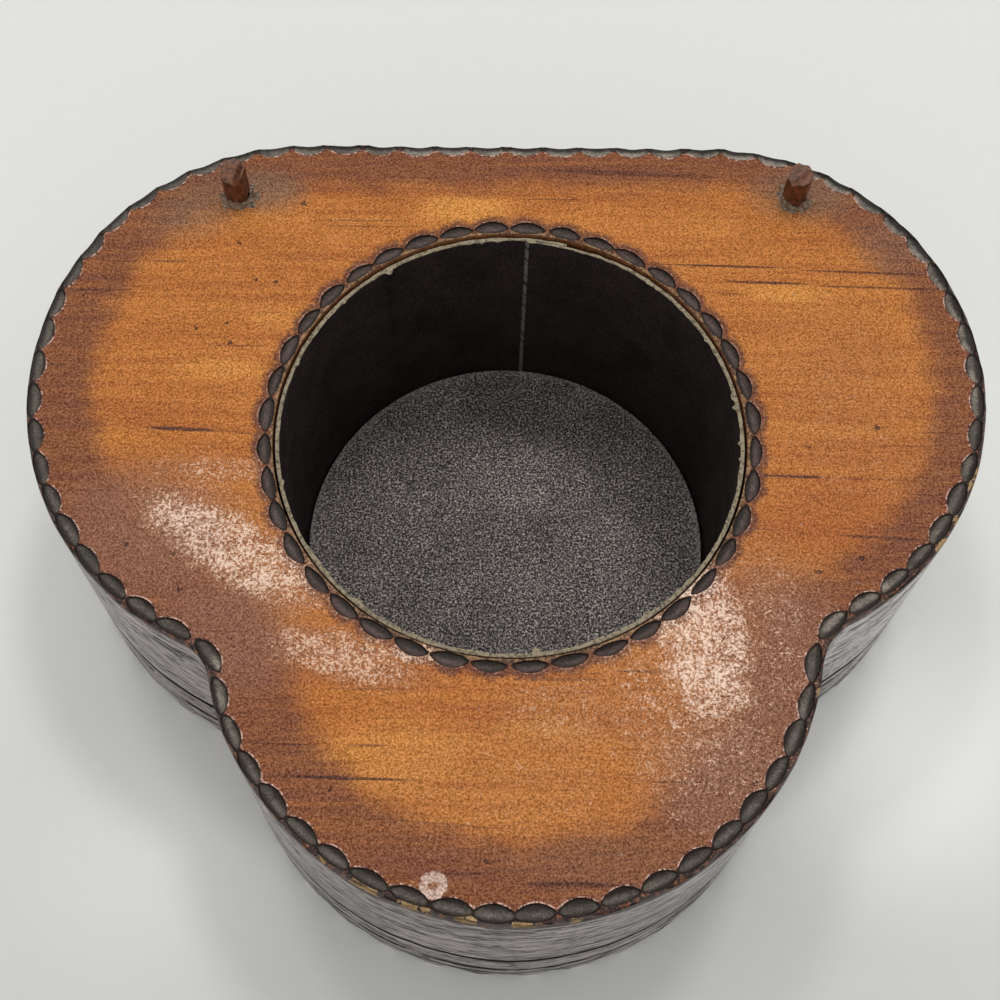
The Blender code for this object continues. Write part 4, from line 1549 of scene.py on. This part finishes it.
def hollow_finish(box):
    """Burnt wood in the nicks: black along the lips, partly as painted shade, with a painted grey sheen down
    in the hollow.
    """
    tones = box.colours
    finish = Finish("burnt_hollow", {"IOR": 1.5, "Specular IOR Level": 0.22})
    place = finish.place()
    flat = finish.flat(place)
    along, across, height = finish.parts(place)
    mottle = finish.noise(place, 1.2, 3, 0.6)
    grit = finish.noise(place, 4.2, 2, 0.7)
    # A painted reflection: in front the painted sheen lies in the middle of a nick, and elsewhere on its
    # inner slope
    middle = finish.smooth(across, -30, -55) * 0.3 - 0.35
    painted_sheen = finish.smooth(abs(finish.stored("beside") - middle + (mottle - 0.5) * 0.7), 0.8, 0.1)
    painted_sheen = painted_sheen * (finish.smooth(finish.noise(place, 0.28, 3, 0.6), 0.35, 0.6) * 0.6 + 0.4)
    at_edge = finish.smooth(finish.span(flat), 37, 38)
    # The painted sheen is stronger towards the back and in the sheen pools, and faint round the well
    behind = finish.smooth(along * 0.5 + across, 15, 55)
    strength = at_edge * (behind * 0.6).most(pool_mask(finish, flat, NICK_SHEEN_POOLS)) + 0.3
    painted_sheen_tone = finish.mix(at_edge, tones.rim_nick_sheen, tones.edge_nick_sheen)
    # Black is painted along the lips of the nicks as shade over the burnt wood. The nicks of the foot, far
    # below the top, are black all over
    depth = BLOCK_HIGH.z / MILLIMETRE - height
    lip = finish.smooth(depth + (mottle - 0.5) * 0.2, 0.48, 0.22).most(finish.smooth(depth, 30, 35))
    tone = finish.layered(tones.ash, (painted_sheen * strength, painted_sheen_tone), (lip * 0.92, tones.hollow))
    tone = finish.scaled(tone, finish.smooth(grit, 0.32, 0.68) * 0.8 + 0.6)
    normal = finish.bump(finish.noise(place, 3, 3, 0.6), 0.06, 0.08)
    roughness = finish.smooth(mottle, 0.3, 0.7) * 0.2 + 0.3
    return finish.cover({"Base Color": tone, "Roughness": roughness, "Normal": normal})


def wood_finish(name, tone, dark_share, roughness):
    """Plain wood with short fibres, for the bore and the pegs."""
    finish = Finish(name, {"IOR": 1.5})
    place = finish.place()
    fibres = finish.noise(finish.stretch(place, (1.3, 1.3, 0.25)), 1.6, 4, 0.65)
    mottle = finish.noise(place, 0.9, 3, 0.6)
    dark = [channel * dark_share for channel in tone]
    shade = finish.mix(finish.smooth(fibres * 0.6 + mottle * 0.4, 0.38, 0.62), dark, tone)
    wear = finish.smooth(mottle, 0.3, 0.7) * 0.15 + roughness
    normal = finish.bump(fibres, 0.12, 0.1)
    return finish.cover({"Base Color": shade, "Roughness": wear, "Normal": normal})


def flock_finish(box):
    """The strip's short dense fibres with lint caught in them, and a pale thread down the seam."""
    tones = box.colours
    finish = Finish("black_flock", {"IOR": 1.4, "Specular IOR Level": 0.1, "Roughness": 0.9})
    place = finish.place()
    _, _, height = finish.parts(place)
    fuzz = finish.noise(place, 3.4, 2, 0.7)
    patches = finish.noise(place, 0.14, 4, 0.6)
    shade = finish.scaled(tones.flock, finish.smooth(fuzz, 0.3, 0.72) * 1.1 + 0.45)
    shade = finish.scaled(shade, finish.smooth(patches, 0.3, 0.7) * 0.5 + 0.75)
    lint = finish.smooth(finish.cells(place, 1.1), 0.13, 0.06)
    lint = lint * finish.smooth(finish.noise(place, 0.31, 2), 0.52, 0.7)
    radius = box.lining.well_radius - box.lining.gap - box.lining.thickness
    seam = around(radius / MILLIMETRE, box.lining.seam_angle)
    at_seam = finish.smooth(finish.distance(finish.flat(place), *seam), 0.42, 0.22)
    dashes = finish.smooth(finish.noise(finish.joined(0, 0, height), 0.45, 4, 0.7), 0.42, 0.5)
    shade = finish.layered(shade, (lint * 0.6, tones.lint), (at_seam * dashes * 0.75, tones.seam))
    return finish.cover({"Base Color": shade, "Normal": finish.bump(fuzz, 0.3)})


def floor_flock_finish(box):
    """The disc's worn flock: grainy grey with dust, and a paler band on its border."""
    tones = box.colours
    finish = Finish("grey_flock", {"IOR": 1.4, "Specular IOR Level": 0.2, "Roughness": 0.9})
    place = finish.place()
    fuzz = finish.noise(place, 2.8, 3, 0.75)
    patches = finish.noise(place, 0.09, 4, 0.6)
    grains = finish.noise(place, 5, 2, 0.7)
    shade = finish.scaled(tones.floor_flock, finish.smooth(fuzz, 0.46, 0.6) * 1.3 + 0.16)
    shade = finish.scaled(shade, finish.smooth(grains, 0.42, 0.66) * 1.2 + 0.5)
    shade = finish.scaled(shade, finish.smooth(patches, 0.3, 0.7) * 0.35 + 0.82)
    reach = (box.lining.well_radius - box.lining.gap - box.lining.thickness) / MILLIMETRE
    from_axis = finish.span(finish.flat(place)) + (patches - 0.5) * 0.8
    border = finish.smooth(from_axis, reach - 1.5, reach - 1) * finish.smooth(fuzz, 0.35, 0.6)
    dust = finish.smooth(finish.cells(place, 1), 0.22, 0.13)
    dust = dust * finish.smooth(finish.noise(place, 0.4, 2), 0.5, 0.62)
    shade = finish.layered(shade, (border * 0.75, tones.floor_border), (dust * 0.85, tones.floor_dust))
    return finish.cover({"Base Color": shade, "Normal": finish.bump(fuzz, 0.35)})


def card_finish(box):
    """The torn cut edge of the card: pale fibres with dark flock caught in them."""
    card = box.colours.card
    finish = Finish("card_edge", {"IOR": 1.45, "Specular IOR Level": 0.3, "Roughness": 0.85})
    fibres = finish.noise(finish.place(), 1.8, 4, 0.7)
    dark = [channel * 0.3 for channel in card]
    shade = finish.mix(finish.smooth(fibres, 0.34, 0.56), dark, card)
    return finish.cover({"Base Color": shade, "Normal": finish.bump(fibres, 0.25)})


def glue_finish(box):
    """Dry glue: pale crumbs over brown, with grey dust."""
    tones = box.colours
    finish = Finish("dry_glue", {"IOR": 1.45, "Specular IOR Level": 0.4, "Roughness": 0.6})
    place = finish.place()
    crumbs = finish.noise(place, 1.6, 4, 0.7)
    patches = finish.smooth(finish.noise(place, 0.5, 3, 0.6), 0.45, 0.6)
    shade = finish.mix(finish.smooth(crumbs, 0.44, 0.62), tones.glue_brown, tones.glue)
    shade = finish.mix(patches * 0.6, shade, tones.glue_dust)
    return finish.cover({"Base Color": shade, "Normal": finish.bump(crumbs, 0.3)})


def block_finishes(box):
    """The finishes of the block and the board, in the order of their slots, made once."""
    makers = {
        "lacquered_pine": lambda: top_finish(box),
        "lacquered_wall": lambda: wall_finish(box),
        "burnt_hollow": lambda: hollow_finish(box),
        "bored_wood": lambda: wood_finish("bored_wood", box.colours.bore, 0.45, 0.4),
    }
    return [bpy.data.materials.get(name) or make() for name, make in makers.items()]


class TRINKET_OT_block(Operator):
    """Build the carved block with its nicks and its lacquer"""

    bl_idname = "trinket.block"
    bl_label = "Carved block"

    def execute(self, context):
        box = context.scene.trinket_box
        carved_block(box, block_finishes(box))
        return {"FINISHED"}


class TRINKET_OT_board(Operator):
    """Build the sawn board that closes the block below"""

    bl_idname = "trinket.board"
    bl_label = "Sawn board"

    def execute(self, context):
        box = context.scene.trinket_box
        sawn_board(box, block_finishes(box))
        return {"FINISHED"}


class TRINKET_OT_lining(Operator):
    """Build the flocked strip and the flocked disc in the well"""

    bl_idname = "trinket.lining"
    bl_label = "Well lining"

    def execute(self, context):
        box = context.scene.trinket_box
        flocked_strip(box, flock_finish(box), card_finish(box))
        flocked_disc(box, floor_flock_finish(box))
        return {"FINISHED"}


class TRINKET_OT_pegs(Operator):
    """Build the two whittled pegs and the glue round them"""

    bl_idname = "trinket.pegs"
    bl_label = "Pegs and glue"

    def execute(self, context):
        box = context.scene.trinket_box
        wood = wood_finish("peg_wood", box.colours.peg, 0.2, 0.4)
        end = wood_finish("peg_end", box.colours.peg_end, 0.3, 0.45)
        glue = glue_finish(box)
        for side in ("left", "right"):
            whittled_peg(box, side, [wood, end])
            glue_crust(box, side, glue)
        return {"FINISHED"}


class TRINKET_OT_stage(Operator):
    """Set the floor, the lamps and the camera"""

    bl_idname = "trinket.stage"
    bl_label = "Stage"

    def execute(self, context):
        stage = context.scene.trinket_box.stage
        floor_under(stage)
        even_light(stage)
        soft_lamp("lamp_left", stage.left_lamp, stage.lamp_size, stage.left_power)
        soft_lamp("lamp_right", stage.right_lamp, stage.lamp_size, stage.right_power)
        photo_camera(stage)
        context.scene.view_settings.view_transform = "Standard"
        return {"FINISHED"}


def floor_under(stage):
    """A pale floor, with painted shade and painted light on it."""
    half = stage.floor_size / 2
    work = bmesh.new()
    corners = [work.verts.new((x * half, y * half, 0)) for x, y in ((-1, -1), (1, -1), (1, 1), (-1, 1))]
    work.faces.new(corners)
    finish = Finish("pale_floor", {"Roughness": 0.8, "Specular IOR Level": 0.2})
    place = finish.place()
    along, across, _ = finish.parts(place)
    # Painted shade darkens the floor towards the camera and a little far behind the box, and painted light
    # brightens it beside the box at both sides and out to the right
    fall = finish.smooth(across, -100, 5) * 0.18 + 0.83 - finish.smooth(across, 20, 110) * 0.02
    painted_light_right = finish.smooth(finish.oval(place, 62, -34, 34, 34), 1, 0) * 0.3
    painted_light_left = finish.smooth(finish.oval(place, -52, -52, 30, 30), 1, 0) * 0.13
    rise = finish.smooth(along, 30, 90) * finish.smooth(abs(across - 5), 50, 20) * 0.06
    cloth = finish.noise(place, 0.4, 3) * 0.03 - 0.015
    shade = finish.scaled(stage.floor_colour, fall + painted_light_right.most(painted_light_left) + rise + cloth)
    from_bmesh("floor", work, [finish.cover({"Base Color": shade})])


def even_light(stage):
    """The same soft white light from every side."""
    world = bpy.data.worlds.new("studio")
    world.use_nodes = True
    background = world.node_tree.nodes["Background"]
    background.inputs["Color"].default_value = (1, 1, 1, 1)
    background.inputs["Strength"].default_value = stage.world_strength
    bpy.context.scene.world = world


def aimed(holder, place, aim, roll=0):
    """Set an object at a place with its view towards the aim, turned about that view by the roll."""
    holder.location = place
    holder.rotation_mode = "QUATERNION"
    turned = Quaternion((0, 0, 1), roll)
    holder.rotation_quaternion = (aim - place).to_track_quat("-Z", "Y") @ turned


def soft_lamp(name, place, size, power):
    """A round lamp that faces the box."""
    lamp = bpy.data.lights.new(name, "AREA")
    lamp.shape = "DISK"
    lamp.size = size
    lamp.energy = power
    aimed(link(name, lamp), Vector(place), Vector((0, 0, 0)))


def photo_camera(stage):
    """The camera at the photograph's place, aimed at the top of the box."""
    data = bpy.data.cameras.new("camera")
    data.lens = stage.lens
    data.sensor_width = stage.sensor
    data.clip_start = 0.01
    camera = link("camera", data)
    aimed(camera, Vector(stage.camera), Vector((*stage.aim, BLOCK_HIGH.z)), stage.roll)
    bpy.context.scene.camera = camera


class TRINKET_PT_panel(Panel):
    """The steps that build the box, in order"""

    bl_label = "Trinket box"
    bl_idname = "TRINKET_PT_panel"
    bl_space_type = "VIEW_3D"
    bl_region_type = "UI"
    bl_category = "Trinket box"

    def draw(self, context):
        for step in STEPS:
            self.layout.operator(step.bl_idname)


GROUPS = (
    TrinketPlan,
    TrinketNicks,
    TrinketWall,
    TrinketLining,
    TrinketPegs,
    TrinketColours,
    TrinketStage,
    TrinketBox,
)
STEPS = (TRINKET_OT_block, TRINKET_OT_board, TRINKET_OT_lining, TRINKET_OT_pegs, TRINKET_OT_stage)


def register():
    for kind in (*GROUPS, *STEPS, TRINKET_PT_panel):
        bpy.utils.register_class(kind)
    bpy.types.Scene.trinket_box = PointerProperty(type=TrinketBox)


def unregister():
    del bpy.types.Scene.trinket_box
    for kind in reversed((*GROUPS, *STEPS, TRINKET_PT_panel)):
        bpy.utils.unregister_class(kind)


def main():
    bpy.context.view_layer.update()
    register()
    bpy.ops.trinket.block()
    bpy.ops.trinket.board()
    bpy.ops.trinket.lining()
    bpy.ops.trinket.pegs()
    bpy.ops.trinket.stage()
    bpy.context.view_layer.update()


if __name__ == "__main__":
    main()
